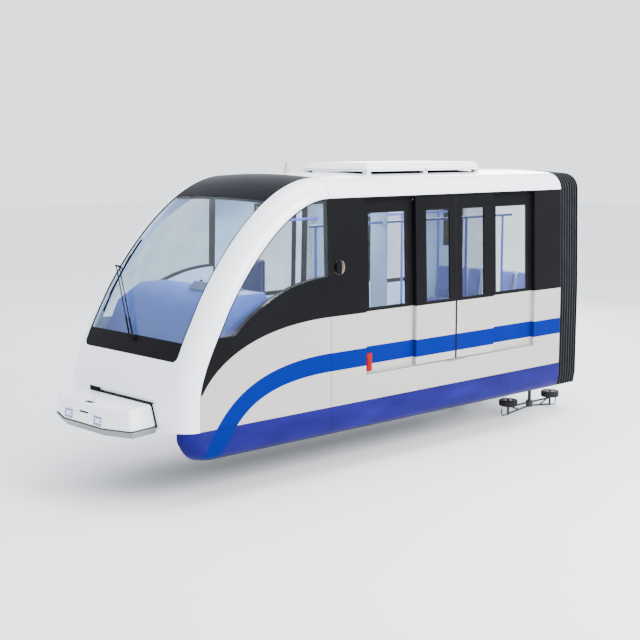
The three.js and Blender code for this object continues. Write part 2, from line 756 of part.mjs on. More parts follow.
function wiper() {
  const { hub, joint, blade, armSides } = WIPER;
  const head = onScreen(hub.z, hub.y, hub.proud);
  const elbow = onScreen(joint.z, joint.y, joint.proud);
  const edge = blade.z.map((z) => onScreen(z, blade.y, blade.proud));
  const aside = ([x, y, z], side) => [x, y + side, z];
  const boss = bar(onScreen(hub.z, hub.y, 0.4), head, hub.radius, 12);
  const arms = armSides.map((side) => bar(aside(head, side), aside(elbow, side), 6, 6));
  const crossbar = bar(aside(elbow, -22), aside(elbow, 22), 12);
  const carrier = bar(elbow, edge[2].map((value, i) => (value + edge[3][i]) / 2), 9);
  const lengths = edge.slice(1).map((place, i) => bar(edge[i], place, blade.radius));
  return join(boss, ...arms, crossbar, carrier, ...lengths);
}

// Cab desk: a sloping front under the windscreen, a flat top, and a pedestal
const DESK = [
  [-3960, 1060],
  [-3846, 1256],
  [-3736, 1484],
  [-3398, 1676],
  [-3016, 1676],
  [-2966, 1590],
  [-3240, 1420],
  [-3280, FLOOR_Z + FIT],
  [-3800, FLOOR_Z + FIT],
];
const DESK_HALF = 960;

function cabDesk() {
  return prismY(DESK, -DESK_HALF, DESK_HALF);
}

// Driver's seat on a post, with a headrest on two rods
const SEAT = {
  y: [-540, -60],
  post: { x: -2830, radius: 50 },
  cushion: { x: [-3060, -2640], z: [1300, 1400] },
  back: [[-2740, 1390], [-2620, 1390], [-2600, 2006], [-2676, 2006]],
  rods: { x: -2640, y: [-380, -220], z: [1990, 2040], radius: 8 },
  head: [
    [-2680, 2030],
    [-2664, 2014],
    [-2616, 2014],
    [-2600, 2030],
    [-2600, 2188],
    [-2616, 2204],
    [-2664, 2204],
    [-2680, 2188],
  ],
  headY: [-430, -170],
};

function driverSeat() {
  const { y, post, cushion, back, rods, head, headY } = SEAT;
  const middle = (y[0] + y[1]) / 2;
  const column = roundZ(post.radius, CAB_FLOOR_Z + FIT, cushion.z[0] + 10, post.x, middle, 12);
  const pad = block(...cushion.x, ...y, ...cushion.z);
  const upright = prismY(back, y[0] + 10, y[1] - 10);
  const stems = rods.y.map((side) => roundZ(rods.radius, ...rods.z, rods.x, side, 8));
  return join(column, pad, upright, ...stems, prismY(head, ...headY));
}

// Front benches along the walls, under the pocket windows, as [y, z] points
const WALL_SEAT_X = [-2100, -760];
const WALL_SEAT_Y = WAIST_HALF - WALL - 0.4;
const WALL_SEAT = [
  [WALL_SEAT_Y, FLOOR_Z + FIT],
  [WALL_SEAT_Y, 1320],
  [WALL_SEAT_Y - 40, 1320],
  [WALL_SEAT_Y - 90, 1030],
  [660, 1040],
  [650, 960],
  [760, 930],
  [780, FLOOR_Z + FIT],
];

function frontBench() {
  return prismX(WALL_SEAT.map(([y, z]) => [-y, z]), ...WALL_SEAT_X);
}

// Rear benches across the car beside the aisle, each with three seat backs, as [x, z] points
const CROSS_SEAT = [
  [1760, 1000],
  [1790, 940],
  [1900, 930],
  [1920, FLOOR_Z + FIT],
  [2200, FLOOR_Z + FIT],
  [2250, 1000],
  [2262, 1524],
  [2206, 1524],
  [2140, 1030],
  [1790, 1030],
];
const CROSS_SEAT_Y = [190, 1052];
const SEAT_GAP = { y: [450, 750], half: 14, lowZ: 1060 };

function rearBench() {
  const [inner, outer] = CROSS_SEAT_Y;
  const { y: places, half, lowZ } = SEAT_GAP;
  const gaps = places.map((y) => block(2000, 2300, -y - half, -y + half, lowZ, 1600));
  return cut(prismY(CROSS_SEAT, -outer, -inner), ...gaps);
}

// Grab rails: a rail under the ceiling on four posts
const GRAB_RAIL = {
  x: [-2000, 1900],
  postX: [-1900, -720, 914, 1700],
  y: -600,
  topZ: 2360,
  radius: 17,
};

function grabRail() {
  const { x, postX, y, topZ, radius } = GRAB_RAIL;
  const posts = postX.map((place) => roundZ(radius, FLOOR_Z + FIT, topZ, place, y, 10));
  return join(bar([x[0], y, topZ], [x[1], y, topZ], radius, 10), ...posts);
}

// Bogie: ring frame round the tyres, bridge over the axle with the pivot plate, arms to the guide wheels
const RING = { x: 345, y: [345, 410], z: [200, 290], hole: 262 };
const BRIDGE = [
  [-345, 240],
  [-230, 372],
  [230, 372],
  [345, 240],
  [265, 240],
  [200, 318],
  [-200, 318],
  [-265, 240],
];
const JOURNAL = 32;
const GUIDE_PIN = 20;
const BOGIES = {
  front: { x: -AXLE_X, guideZ: [-98, -10], pinTop: 60 },
  rear: { x: AXLE_X, guideZ: [-442, -354], pinTop: -330 },
};

function bogieFrame({ x, guideZ }, hangs) {
  const { y: [inY, outY], z: [low, high], hole } = RING;
  const outer = block(x - RING.x, x + RING.x, -outY, outY, low, high);
  const ring = cut(outer, block(x - hole, x + hole, -inY, inY, low - 10, high + 10));
  const bridge = prismY(BRIDGE.map(([along, z]) => [x + along, z]), -60, 60);
  const plate = roundZ(80, 370, SPINE_LOW_Z, x, 0);
  const bearings = [-1, 1].map((side) => {
    const [a, b] = ordered(side * inY, side * outY);
    return block(x - 70, x + 70, a, b, 175, 315);
  });
  const bores = roundY(JOURNAL + BEARING, -outY - 10, outY + 10, x, TYRE_RADIUS);
  const arms = [-1, 1].flatMap((side) => (hangs ? hangingArm(x, side, guideZ) : shortArm(x, side, guideZ)));
  return cut(join(ring, bridge, plate, ...bearings, ...arms), bores);
}

const GUIDE_Y = BEAM_HALF + GUIDE_RADIUS;

// Arm of the front bogie: a beam along the ring at each side, with a pin for a guide wheel at each end
function shortArm(x, side, guideZ) {
  const y = side * GUIDE_Y;
  const beamZ = [200, 260];
  const [a, b] = ordered(side * (RING.y[1] - 10), side * (GUIDE_Y + 30));
  const root = block(x - 200, x + 200, a, b, ...beamZ);
  const beam = block(x - GUIDE_REACH - 40, x + GUIDE_REACH + 40, y - 30, y + 30, ...beamZ);
  const pins = [-1, 1].map((end) => guidePin(x + end * GUIDE_REACH, y, guideZ, beamZ[1] - 5));
  return [root, beam, ...pins];
}

// Arm of the rear bogie: a post down to a hub, two rods to each guide wheel, a brace and a thin guard loop
function hangingArm(x, side, guideZ) {
  const y = side * GUIDE_Y;
  const [a, b] = ordered(side * (RING.y[1] - 10), side * (GUIDE_Y + 20));
  const root = block(x - 60, x + 60, a, b, 200, 280);
  const post = block(x - 16, x + 16, y - 18, y + 18, -440, 240);
  const hub = roundZ(52, -528, -428, x, y, 16);
  const pieces = [root, post, hub];
  [-1, 1].forEach((end) => {
    const wheelX = x + end * GUIDE_REACH;
    pieces.push(bar([x, y, -462], [wheelX, y, -466], 15));
    pieces.push(bar([x, y, -514], [wheelX, y, -564], 13));
    pieces.push(bar([x + end * 260, y, -536], [x + end * 440, y, -466], 11));
    pieces.push(bar([wheelX, y, -450], [wheelX, y, -578], 16));
    pieces.push(...guardLoop(x, y, side, end));
    pieces.push(guidePin(wheelX, y, guideZ, guideZ[1] + 12));
  });
  return pieces;
}

// Guard round the outer edge of a guide wheel
function guardLoop(x, y, side, end) {
  const outer = x + end * (GUIDE_REACH + GUIDE_RADIUS + 14);
  const wheelX = x + end * GUIDE_REACH;
  return [
    bar([wheelX, y, -574], [outer - end * 20, y, -574], 8, 6),
    bar([outer - end * 24, y, -574], [outer, y, -540], 8, 6),
    bar([outer, y, -546], [outer, y, -470], 8, 6),
  ];
}

// Upright pin with a collar under the guide wheel
function guidePin(x, y, [low, high], top) {
  const pin = roundZ(GUIDE_PIN, low - 20, top, x, y, 16);
  const collar = roundZ(GUIDE_PIN + 14, low - 20, low - FIT, x, y, 16);
  return join(pin, collar);
}

function axle(x) {
  const shaft = roundY(JOURNAL, -RING.y[1], RING.y[1], x, TYRE_RADIUS);
  const body = roundY(48, -TYRE_Y[1] - 10, TYRE_Y[1] + 10, x, TYRE_RADIUS, 16);
  const rims = [-1, 1].map((side) => {
    const [a, b] = ordered(side * TYRE_Y[0], side * TYRE_Y[1]);
    return roundY(RIM_RADIUS, a + 12, b - 12, x, TYRE_RADIUS, 32);
  });
  return join(shaft, body, ...rims);
}

// Ring turned about its axle from a section with rounded outer corners, as [radius, place along the axle]
function wheelRing(bore, outer, [low, high], corner, sides) {
  const section = [
    [bore, low],
    [outer - corner, low],
    [outer, low + corner],
    [outer, high - corner],
    [outer - corner, high],
    [bore, high],
    [bore, low],
  ];
  return new THREE.LatheGeometry(section.map(([r, along]) => new THREE.Vector2(r, along)), sides);
}

// Load tyre on the left
function loadTyre(x) {
  const half = (TYRE_Y[1] - TYRE_Y[0]) / 2;
  const geometry = wheelRing(RIM_RADIUS + FIT * 2, TYRE_RADIUS, [-half, half], 28, 32);
  geometry.translate(x, -(TYRE_Y[0] + TYRE_Y[1]) / 2, TYRE_RADIUS);
  return solidOf(geometry);
}

function guideWheel(x, y, guideZ) {
  const geometry = wheelRing(GUIDE_PIN + BEARING, GUIDE_RADIUS, guideZ, 15, 24);
  geometry.rotateX(Math.PI / 2);
  geometry.translate(x, y, 0);
  return solidOf(geometry);
}

// Assembly
add("underframe", underframe(), "underside");
add("spine", spine(), "underside");
addPair("side_wall", sideWall(), "lightGrey");
addPair("cab_side", cabSide(), "lightGrey");
addPair("cab_window", cabWindow(), "glass");
add("nose_shell", noseShell(), "white");
add("windscreen", windscreen(), "glass");
add("windscreen_cap", windscreenCap(), "blackPanel");
add("roof_shell", roofShell(), "white");
add("end_wall", endWall(), "lightGrey");
addPair("skirt", skirt(), "skirtBlue");
Object.entries(WINDOWS_X).forEach(([place, x]) => {
  addPair(`saloon_window_${place}`, saloonWindow(x), "glass");
});
LEAVES.forEach((leaf) => {
  addPair(leaf.stem, doorLeaf(leaf), "lightGrey");
  addPair(leaf.stem.replace("leaf", "glass"), doorGlass(leaf), "glass");
});
add("bellows", bellows(), "rubber");
add("gangway_ring", gangwayRing(), "steel");
add("gangway_floor", gangwayFloor(), "steel");
add("roof_unit", roofUnit(), "white");
add("aerial", aerial(), "white");
add("coupler_housing", couplerHousing(), "white");
addPair("headlamp", headlamp(), "lamp");
add("wiper", wiper(), "rubber");
add("cab_desk", cabDesk(), "deskBlue");
add("driver_seat", driverSeat(), "seatBlue");
addPair("bench_front", frontBench(), "seatBlue");
addPair("bench_rear", rearBench(), "seatBlue");
addPair("grab_rail", grabRail(), "seatBlue");
Object.entries(BOGIES).forEach(([place, bogie]) => {
  add(`bogie_${place}`, bogieFrame(bogie, place === "rear"), "steel");
  add(`axle_${place}`, axle(bogie.x), "steel");
  addPair(`load_tyre_${place}`, loadTyre(bogie.x), "rubber");
  [["lead", -1], ["trail", 1]].forEach(([end, sign]) => {
    const wheel = guideWheel(bogie.x + sign * GUIDE_REACH, -GUIDE_Y, bogie.guideZ);
    addPair(`guide_wheel_${place}_${end}`, wheel, "rubber");
  });
});

export default car;
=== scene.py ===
"""Looks of the monorail cab car. Lengths are in millimetres until a mesh is made."""

import json
import math

import bmesh
import bpy
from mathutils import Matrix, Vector

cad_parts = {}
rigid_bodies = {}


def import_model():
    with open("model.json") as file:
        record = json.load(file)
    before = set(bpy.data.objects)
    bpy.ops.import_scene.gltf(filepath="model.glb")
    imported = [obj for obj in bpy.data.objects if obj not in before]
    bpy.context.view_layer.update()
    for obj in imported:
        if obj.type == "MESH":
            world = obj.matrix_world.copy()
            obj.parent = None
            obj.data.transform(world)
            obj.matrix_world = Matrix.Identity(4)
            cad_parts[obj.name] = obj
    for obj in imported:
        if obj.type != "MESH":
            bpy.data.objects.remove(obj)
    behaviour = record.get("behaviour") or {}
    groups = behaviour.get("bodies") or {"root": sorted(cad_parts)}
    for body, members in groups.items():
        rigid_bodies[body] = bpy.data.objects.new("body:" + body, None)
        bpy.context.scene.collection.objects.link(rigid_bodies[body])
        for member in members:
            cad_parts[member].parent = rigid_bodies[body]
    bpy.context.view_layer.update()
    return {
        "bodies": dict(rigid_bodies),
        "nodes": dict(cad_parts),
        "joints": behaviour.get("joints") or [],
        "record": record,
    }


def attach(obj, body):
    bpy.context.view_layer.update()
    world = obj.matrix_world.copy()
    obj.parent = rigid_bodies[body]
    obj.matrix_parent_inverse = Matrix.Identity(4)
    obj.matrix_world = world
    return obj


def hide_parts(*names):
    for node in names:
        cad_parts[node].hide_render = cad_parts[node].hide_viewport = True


MM = 0.001

# Main stations along the car, in the CAD's own numbers
NOSE_X = -4362
SEAM_X = -2156
BODY_END_X = 2354
GANGWAY_END_X = 2780
AXLE_X = 2566
POCKET_X = (-1566, 1754)
DOORWAY_X = (-640, 834)
DOOR_X = (-670, 864)
DOOR_SEAM_X = 94

# Heights
SKIRT_LOW_Z = -100
SKIRT_TOP_Z = 246
FLOOR_Z = 576
CAB_FLOOR_Z = 950
STRIPE_Z = (678, 898)
WAIST_Z = 1330
WINDOW_Z = (1356, 2536)
DOORWAY_TOP_Z = 2600
POCKET_TOP_Z = 2700
CANTRAIL_Z = 2718
ROOF_Z = 2988

# Sections and thicknesses
WAIST_HALF = 1150
CANTRAIL_HALF = 1109
EDGE_RADIUS = (240, 270)
CROWN = (12, 32)
SHELL = 50
WALL = 92
CAB_WALL = 60
POCKET_DEPTH = 62
LEAF = 45
SKIRT_SKIN = 28
GLASS = 10
CLEAR = 5
FIT = 0.3


# Meshes


class Shape:
    """Points and faces of one piece, with the number of the material each face takes."""

    def __init__(self):
        self.points = []
        self.faces = []
        self.paints = []

    def face(self, corners, paint=0):
        self.faces.append(tuple(corners))
        self.paints.append(paint)

    def mirrored(self):
        """The same shape on the other side of the centre plane."""
        twin = Shape()
        twin.points = [(x, -y, z) for x, y, z in self.points]
        twin.faces = [tuple(reversed(face)) for face in self.faces]
        twin.paints = list(self.paints)
        return twin


def only(number):
    """A choice of material that is the same for every cell."""
    return lambda i, j: number


def steps(start, end, count):
    """count + 1 even steps from start to end."""
    return [start + (end - start) * k / count for k in range(count + 1)]


def full_turn(count):
    return [2 * math.pi * k / count for k in range(count)]


def add_slab(shape, outer, inner, keep=None, paint=only(0), inner_paint=None):
    """Closed body between two equal grids of points. keep and the paints are asked for each cell i, j."""
    rows, columns = len(outer), len(outer[0])
    base = len(shape.points)
    back = rows * columns
    for grid in (outer, inner):
        for row in grid:
            shape.points.extend(row)
    cells = [(i, j) for i in range(rows - 1) for j in range(columns - 1)]
    kept = {cell for cell in cells if keep is None or keep(*cell)}
    for i, j in sorted(kept):
        a = base + i * columns + j
        b, c, d = a + 1, a + columns + 1, a + columns
        colour = paint(i, j)
        shape.face((a, b, c, d), colour)
        inner_colour = inner_paint(i, j) if inner_paint else colour
        shape.face((d + back, c + back, b + back, a + back), inner_colour)
        sides = (((a, b), (i - 1, j)), ((b, c), (i, j + 1)), ((c, d), (i + 1, j)), ((d, a), (i, j - 1)))
        for (start, end), beyond in sides:
            if beyond not in kept:
                shape.face((end, start, start + back, end + back), colour)


def add_rings(shape, rings, paint=only(0), closed=False):
    """Body through loops of points, with flat ends, or closed from the last loop to the first."""
    base, count = len(shape.points), len(rings[0])
    for ring in rings:
        shape.points.extend(ring)
    spans = len(rings) if closed else len(rings) - 1
    if not closed:
        last = base + spans * count
        shape.face(reversed(range(base, base + count)), paint(0, 0))
        shape.face(range(last, last + count), paint(spans - 1, 0))
    for i in range(spans):
        here, beyond = base + i * count, base + (i + 1) % len(rings) * count
        for k in range(count):
            after = (k + 1) % count
            shape.face((here + k, here + after, beyond + after, beyond + k), paint(i, k))


def along_x(a, b, t):
    return (t, a, b)


def along_y(a, b, t):
    return (a, t, b)


def along_z(a, b, t):
    return (a, b, t)


def add_prism(shape, outline, low, high, place, paint=0):
    """Closed body of a flat outline carried from low to high; place(a, b, t) puts a point in space."""
    base, count = len(shape.points), len(outline)
    for t in (low, high):
        shape.points.extend(place(a, b, t) for a, b in outline)
    shape.face(range(base, base + count), paint)
    shape.face(reversed(range(base + count, base + 2 * count)), paint)
    for k in range(count):
        a, b = base + k, base + (k + 1) % count
        shape.face((b, a, a + count, b + count), paint)


def add_box(shape, x, y, z, paint=0):
    corners = [(x[0], y[0]), (x[1], y[0]), (x[1], y[1]), (x[0], y[1])]
    add_prism(shape, corners, z[0], z[1], along_z, paint)


def add_loft(shape, levels):
    """Closed body through plans, each given with its height before it."""
    add_rings(shape, [[(x, y, z) for x, y in plan] for z, plan in levels])


UPRIGHT = 0.05


def add_tube(shape, path, radius, sides=12):
    """Round bar along a path of points, with flat ends."""
    places = [Vector(p) for p in path]
    rings = []
    for k, place in enumerate(places):
        ahead = places[min(k + 1, len(places) - 1)] - places[max(k - 1, 0)]
        ahead.normalize()
        aside = ahead.cross(Vector((0, 0, 1)))
        if aside.length < UPRIGHT:
            aside = ahead.cross(Vector((0, 1, 0)))
        aside.normalize()
        up = aside.cross(ahead)
        turns = full_turn(sides)
        rings.append([tuple(place + radius * (math.cos(t) * aside + math.sin(t) * up)) for t in turns])
    add_rings(shape, rings)


def add_lathe(shape, section, centre, place, sides, paint=only(0)):
    """Closed ring: a loop of (radius, along) turned round the axis that place(a, b, along) runs on."""
    rings = []
    for angle in full_turn(sides):
        across, over = math.cos(angle), math.sin(angle)
        points = [place(radius * across, radius * over, along) for radius, along in section]
        rings.append([tuple(c + p for c, p in zip(centre, point)) for point in points])
    add_rings(shape, rings, paint, closed=True)


WELD = 2e-5


def tidy_mesh(mesh):
    """Welds points that meet, drops what has no area, and turns every face outward."""
    work = bmesh.new()
    work.from_mesh(mesh)
    bmesh.ops.remove_doubles(work, verts=work.verts, dist=WELD)
    bmesh.ops.dissolve_degenerate(work, edges=work.edges, dist=WELD)
    loose = [v for v in work.verts if not v.link_faces]
    bmesh.ops.delete(work, geom=loose, context="VERTS")
    bmesh.ops.recalc_face_normals(work, faces=work.faces)
    work.to_mesh(mesh)
    work.free()


def link(name, data):
    """A new object in the scene."""
    obj = bpy.data.objects.new(name, data)
    bpy.context.scene.collection.objects.link(obj)
    return obj


def mesh_object(name, shape, materials, sharp=38):
    mesh = bpy.data.meshes.new(name)
    mesh.from_pydata([[value * MM for value in point] for point in shape.points], [], shape.faces)
    for material in materials:
        mesh.materials.append(material)
    mesh.polygons.foreach_set("material_index", shape.paints)
    tidy_mesh(mesh)
    mesh.shade_smooth()
    mesh.set_sharp_from_angle(angle=math.radians(sharp))
    return link(name, mesh)


def add_modifier(obj, name, kind, **settings):
    modifier = obj.modifiers.new(name, kind)
    for key, value in settings.items():
        setattr(modifier, key, value)
    return modifier


def settle(obj):
    """Takes an object's modifiers into its mesh."""
    bpy.context.view_layer.update()
    graph = bpy.context.evaluated_depsgraph_get()
    made = bpy.data.meshes.new_from_object(obj.evaluated_get(graph))
    obj.modifiers.clear()
    obj.data = made


def round_edges(obj, width, segments=3, angle=38):
    """Bevel modifier on the edges that turn by more than an angle."""
    settings = {"limit_method": "ANGLE", "angle_limit": math.radians(angle), "harden_normals": True}
    add_modifier(obj, "rounded_edges", "BEVEL", width=width * MM, segments=segments, **settings)


def carve(obj, cutter_shape):
    """Takes a cutter's shape out of an object, once and for good."""
    cutter = mesh_object("cutter", cutter_shape, [])
    add_modifier(obj, "carve", "BOOLEAN", operation="DIFFERENCE", solver="EXACT", object=cutter)
    settle(obj)
    bpy.data.objects.remove(cutter)


def make(name, shape, materials, body="car_body", stands_for=(), slot=None, bevel=0, sharp=38, cutter=None):
    """A finished piece: mesh, what is cut out of it, soft edges, and its place in the frame."""
    obj = mesh_object(name, shape, materials, sharp)
    if cutter:
        carve(obj, cutter)
    if bevel:
        round_edges(obj, bevel)
    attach(obj, body)
    if stands_for:
        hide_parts(*stands_for)
    return obj


SIDES = ("left", "right")


def make_pair(name, shape, materials, body="car_body", stands_for=(), cutter=None, **settings):
    """A piece of the left side and its twin. A body or node name with a star takes the side's name there."""
    made = []
    cutters = (cutter, cutter and cutter.mirrored())
    for side, form, cut in zip(SIDES, (shape, shape.mirrored()), cutters):
        own_body = body.replace("*", side)
        nodes = [node.replace("*", side) for node in stands_for]
        made.append(make(f"{name}_{side}", form, materials, own_body, nodes, cutter=cut, **settings))
    return made


# Materials


def linear(colour):
    """Linear RGBA of an sRGB colour written as 0xRRGGBB."""
    channels = [((colour >> shift) & 255) / 255 for shift in (16, 8, 0)]
    curved = [c / 12.92 if c <= 0.04045 else ((c + 0.055) / 1.055) ** 2.4 for c in channels]
    return (*curved, 1.0)


def shaded(colour, share):
    return (*[min(1.0, channel * share) for channel in colour[:3]], 1.0)


class Nodes:
    """Short hand for a material's node tree."""

    def __init__(self, name):
        self.material = bpy.data.materials.new(name)
        self.material.use_nodes = True
        self.tree = self.material.node_tree
        self.shader = self.tree.nodes["Principled BSDF"]
        self.out = self.tree.nodes["Material Output"]
        self.place = self.add("ShaderNodeTexCoord").outputs["Object"]

    def add(self, kind, values=(), **settings):
        """A node with its settings, and values for its sockets."""
        node = self.tree.nodes.new(kind)
        for key, value in settings.items():
            setattr(node, key, value)
        for socket, value in dict(values).items():
            node.inputs[socket].default_value = value
        return node

    def link(self, start, end):
        self.tree.links.new(start, end)

    def noise(self, scale, detail=3.0, stretch=None):
        """Noise in the object's own space, drawn out along an axis where stretch says so."""
        node = self.add("ShaderNodeTexNoise", {"Scale": scale, "Detail": detail})
        source = self.place
        if stretch:
            mapping = self.add("ShaderNodeMapping", {"Scale": stretch})
            self.link(self.place, mapping.inputs["Vector"])
            source = mapping.outputs["Vector"]
        self.link(source, node.inputs["Vector"])
        return node.outputs["Fac"]

    def ramp(self, source, shades):
        """Colours by position, for values from 0 to 1."""
        node = self.add("ShaderNodeValToRGB")
        elements = node.color_ramp.elements
        while len(elements) < len(shades):
            elements.new(0.5)
        for element, (position, colour) in zip(elements, shades.items()):
            element.position = position
            element.color = colour
        self.link(source, node.inputs["Fac"])
        return node.outputs["Color"]

    def spread(self, source, low, high):
        """Noise brought into a range of values."""
        values = {"From Min": 0.3, "From Max": 0.7, "To Min": low, "To Max": high}
        node = self.add("ShaderNodeMapRange", values)
        self.link(source, node.inputs["Value"])
        return node.outputs["Result"]

    def bump(self, source, strength, depth):
        node = self.add("ShaderNodeBump", {"Strength": strength, "Distance": depth * MM})
        self.link(source, node.inputs["Height"])
        self.link(node.outputs["Normal"], self.shader.inputs["Normal"])


def uneven(name, tone, shades, rough, grain=None, **values):
    """Finish that varies. tone, rough and grain start with a noise's scale and detail.

    After these, rough has its lowest and highest value, and grain the strength and depth of a bump.
    """
    nodes = Nodes(name)
    nodes.tone = nodes.noise(*tone)
    nodes.link(nodes.ramp(nodes.tone, shades), nodes.shader.inputs["Base Color"])
    nodes.link(nodes.spread(nodes.noise(*rough[:2]), *rough[2:]), nodes.shader.inputs["Roughness"])
    for socket, value in values.items():
        nodes.shader.inputs[socket.replace("_", " ")].default_value = value
    if grain:
        nodes.bump(nodes.noise(*grain[:2]), *grain[2:])
    return nodes


# Waviness or grain of a surface: scale, strength and depth
FAINT = (240.0, 0.05, 0.3)
MOULDED = (300.0, 0.2, 0.4)


def finish(name, colour, rough, vary=0.03, patch=1.4, metal=0.0, coat=0.0, gloss=0.5, wave=FAINT):
    """Paint, plastic or rubber: slow changes of tone, uneven gloss, and a faint waviness or grain."""
    base = linear(colour)
    shades = {0.35: shaded(base, 1 - vary), 0.65: shaded(base, 1 + vary)}
    dull = (60.0, 2.0, rough * 0.85, rough * 1.2)
    grain = (wave[0], 2.0, *wave[1:])
    values = {"Metallic": metal, "Coat_Weight": coat, "Specular_IOR_Level": gloss}
    return uneven(name, (patch, 4.0), shades, dull, grain, **values).material


PAINTS = {
    "white": {"name": "body_white_paint", "colour": 0xF2F4F9, "rough": 0.2, "vary": 0.012, "coat": 0.2},
    "grey": {"name": "side_grey_paint", "colour": 0xA8A6A2, "rough": 0.3, "vary": 0.015, "gloss": 0.2},
    "stripe": {"name": "stripe_blue_paint", "colour": 0x00176C, "rough": 0.35, "vary": 0.04, "gloss": 0.02},
    "skirt_stripe": {
        "name": "stripe_blue_on_skirt", "colour": 0x001668, "rough": 0.35, "vary": 0.05, "gloss": 0.03,
    },
    # Dark navy painted as shade on the skirt's turned-under lower edge
    "lip": {"name": "skirt_lower_lip", "colour": 0x0A0C34, "rough": 0.4, "vary": 0.1, "gloss": 0.1},
    "black": {"name": "black_panel_paint", "colour": 0x101012, "rough": 0.3, "vary": 0.1, "gloss": 0.03},
    "cap": {"name": "cap_dark_paint", "colour": 0x0B0C14, "rough": 0.34, "vary": 0.06, "gloss": 0.02},
    # Grey darkened as painted shade for the coupler's base plate; the sill plate shares it
    "plate": {"name": "coupler_plate_grey", "colour": 0x7C7D80, "rough": 0.3, "vary": 0.04, "gloss": 0.2},
    "lamp_back": {"name": "lamp_backing", "colour": 0xE4E8F0, "rough": 0.2, "patch": 8.0},
    "red": {
        "name": "emergency_red_plastic", "colour": 0x8C0405, "rough": 0.4, "vary": 0.06, "patch": 12.0,
        "gloss": 0.05,
    },
    "dish": {"name": "handle_dish_beige", "colour": 0x8A7A66, "rough": 0.35, "vary": 0.08, "patch": 14.0},
    "rubber": {
        "name": "rubber_black", "colour": 0x121214, "rough": 0.75, "vary": 0.15, "patch": 9.0,
        "gloss": 0.08, "wave": (420.0, 0.25, 0.4),
    },
    "tyre": {
        "name": "tyre_rubber", "colour": 0x1E1E20, "rough": 0.85, "vary": 0.2, "patch": 12.0,
        "gloss": 0.3, "wave": (260.0, 0.35, 0.8),
    },
    "ridge": {
        "name": "bellows_ridge_cloth", "colour": 0x34343A, "rough": 0.7, "vary": 0.15, "patch": 8.0,
        "gloss": 0.12,
    },
    "metal": {
        "name": "bright_metal", "colour": 0xB4B8BE, "rough": 0.3, "vary": 0.05, "patch": 6.0,
        "metal": 1.0, "wave": (180.0, 0.08, 0.3),
    },
    "rail": {"name": "grab_rail_blue", "colour": 0x4650A8, "rough": 0.3, "vary": 0.05, "patch": 4.0},
    "lining": {"name": "interior_pale_blue", "colour": 0xBED2E6, "rough": 0.55, "patch": 2.0},
    "partition": {
        "name": "partition_blue_grey", "colour": 0x8FA6BC, "rough": 0.4, "patch": 3.0,
        "wave": (300.0, 0.1, 0.3),
    },
    "desk": {
        "name": "desk_blue_plastic", "colour": 0x4A66B8, "rough": 0.45, "vary": 0.04, "patch": 3.0,
        "wave": MOULDED,
    },
    "console": {
        "name": "console_grey_plastic", "colour": 0x6D7B96, "rough": 0.5, "vary": 0.05, "patch": 5.0,
        "wave": MOULDED,
    },
    "shell": {"name": "bench_shell_plastic", "colour": 0xA9B4DA, "rough": 0.4, "vary": 0.04, "patch": 4.0},
}


def skirt_paint():
    """Blue with the photo's soft darker patches."""
    base = linear(0x140D5A)
    shades = {0.3: shaded(base, 0.75), 0.5: base, 0.62: shaded(base, 1.2), 0.72: shaded(base, 1.5)}
    tone, dull, grain = (2.6, 3.0, (0.6, 1.0, 2.2)), (30.0, 3.0, 0.26, 0.4), (8.0, 3.0, 0.08, 1.0)
    return uneven("skirt_blue_paint", tone, shades, dull, grain, Specular_IOR_Level=0.06).material


def bellows_cloth():
    """Coated cloth with a woven grain."""
    base = linear(0x121215)
    shades = {0.35: shaded(base, 0.7), 0.68: shaded(base, 1.3)}
    tone, dull = (5.0, 5.0, (1.0, 1.0, 0.5)), (70.0, 3.0, 0.6, 0.85)
    nodes = uneven("bellows_coated_cloth", tone, shades, dull, Specular_IOR_Level=0.12)
    weave = nodes.add("ShaderNodeTexWave", {"Scale": 140.0}, wave_type="BANDS", bands_direction="Z")
    nodes.link(nodes.place, weave.inputs["Vector"])
    nodes.bump(weave.outputs["Fac"], 0.25, 0.6)
    return nodes.material


def steel_paint():
    """Dark running gear: paint worn to metal in patches."""
    shades = {0.35: linear(0x232427), 0.6: linear(0x34363A), 0.8: linear(0x55504A)}
    dull, grain = (26.0, 3.0, 0.35, 0.65), (60.0, 4.0, 0.2, 0.6)
    return uneven("running_gear_steel", (7.0, 6.0), shades, dull, grain, Metallic=0.6).material


def underside_paint():
    shades = {0.32: linear(0x3E4045), 0.6: linear(0x565960), 0.85: linear(0x6A6358)}
    dull, grain = (20.0, 3.0, 0.5, 0.8), (50.0, 3.0, 0.15, 0.8)
    return uneven("underside_grey_paint", (3.0, 6.0), shades, dull, grain).material


def floor_cover():
    """Speckled floor covering, rough where its specks are."""
    shades = {0.4: linear(0x70757E), 0.5: linear(0x8D939C), 0.62: linear(0xB2B7BE)}
    nodes = uneven("floor_covering", (220.0, 2.0), shades, (12.0, 3.0, 0.55, 0.75))
    nodes.bump(nodes.tone, 0.12, 0.4)
    return nodes.material


def fabric(name, colour):
    """Woven seat cloth with sheen."""
    base = linear(colour)
    shades = {0.35: shaded(base, 0.8), 0.65: shaded(base, 1.2)}
    dull, weave = (90.0, 3.0, 0.75, 0.95), (900.0, 1.0, 0.3, 0.5)
    return uneven(name, (9.0, 5.0), shades, dull, weave, Sheen_Weight=0.35).material


def lamp_lens():
    """Small lamp squares in a cold blue grey."""
    shades = {0.35: linear(0x4C6190), 0.65: linear(0x6C82B0)}
    return uneven("lamp_lens", (40.0, 2.0), shades, (25.0, 3.0, 0.08, 0.2)).material


MIRROR = {0.0: 0.02, 0.55: 0.05, 0.85: 0.16, 1.0: 0.8}


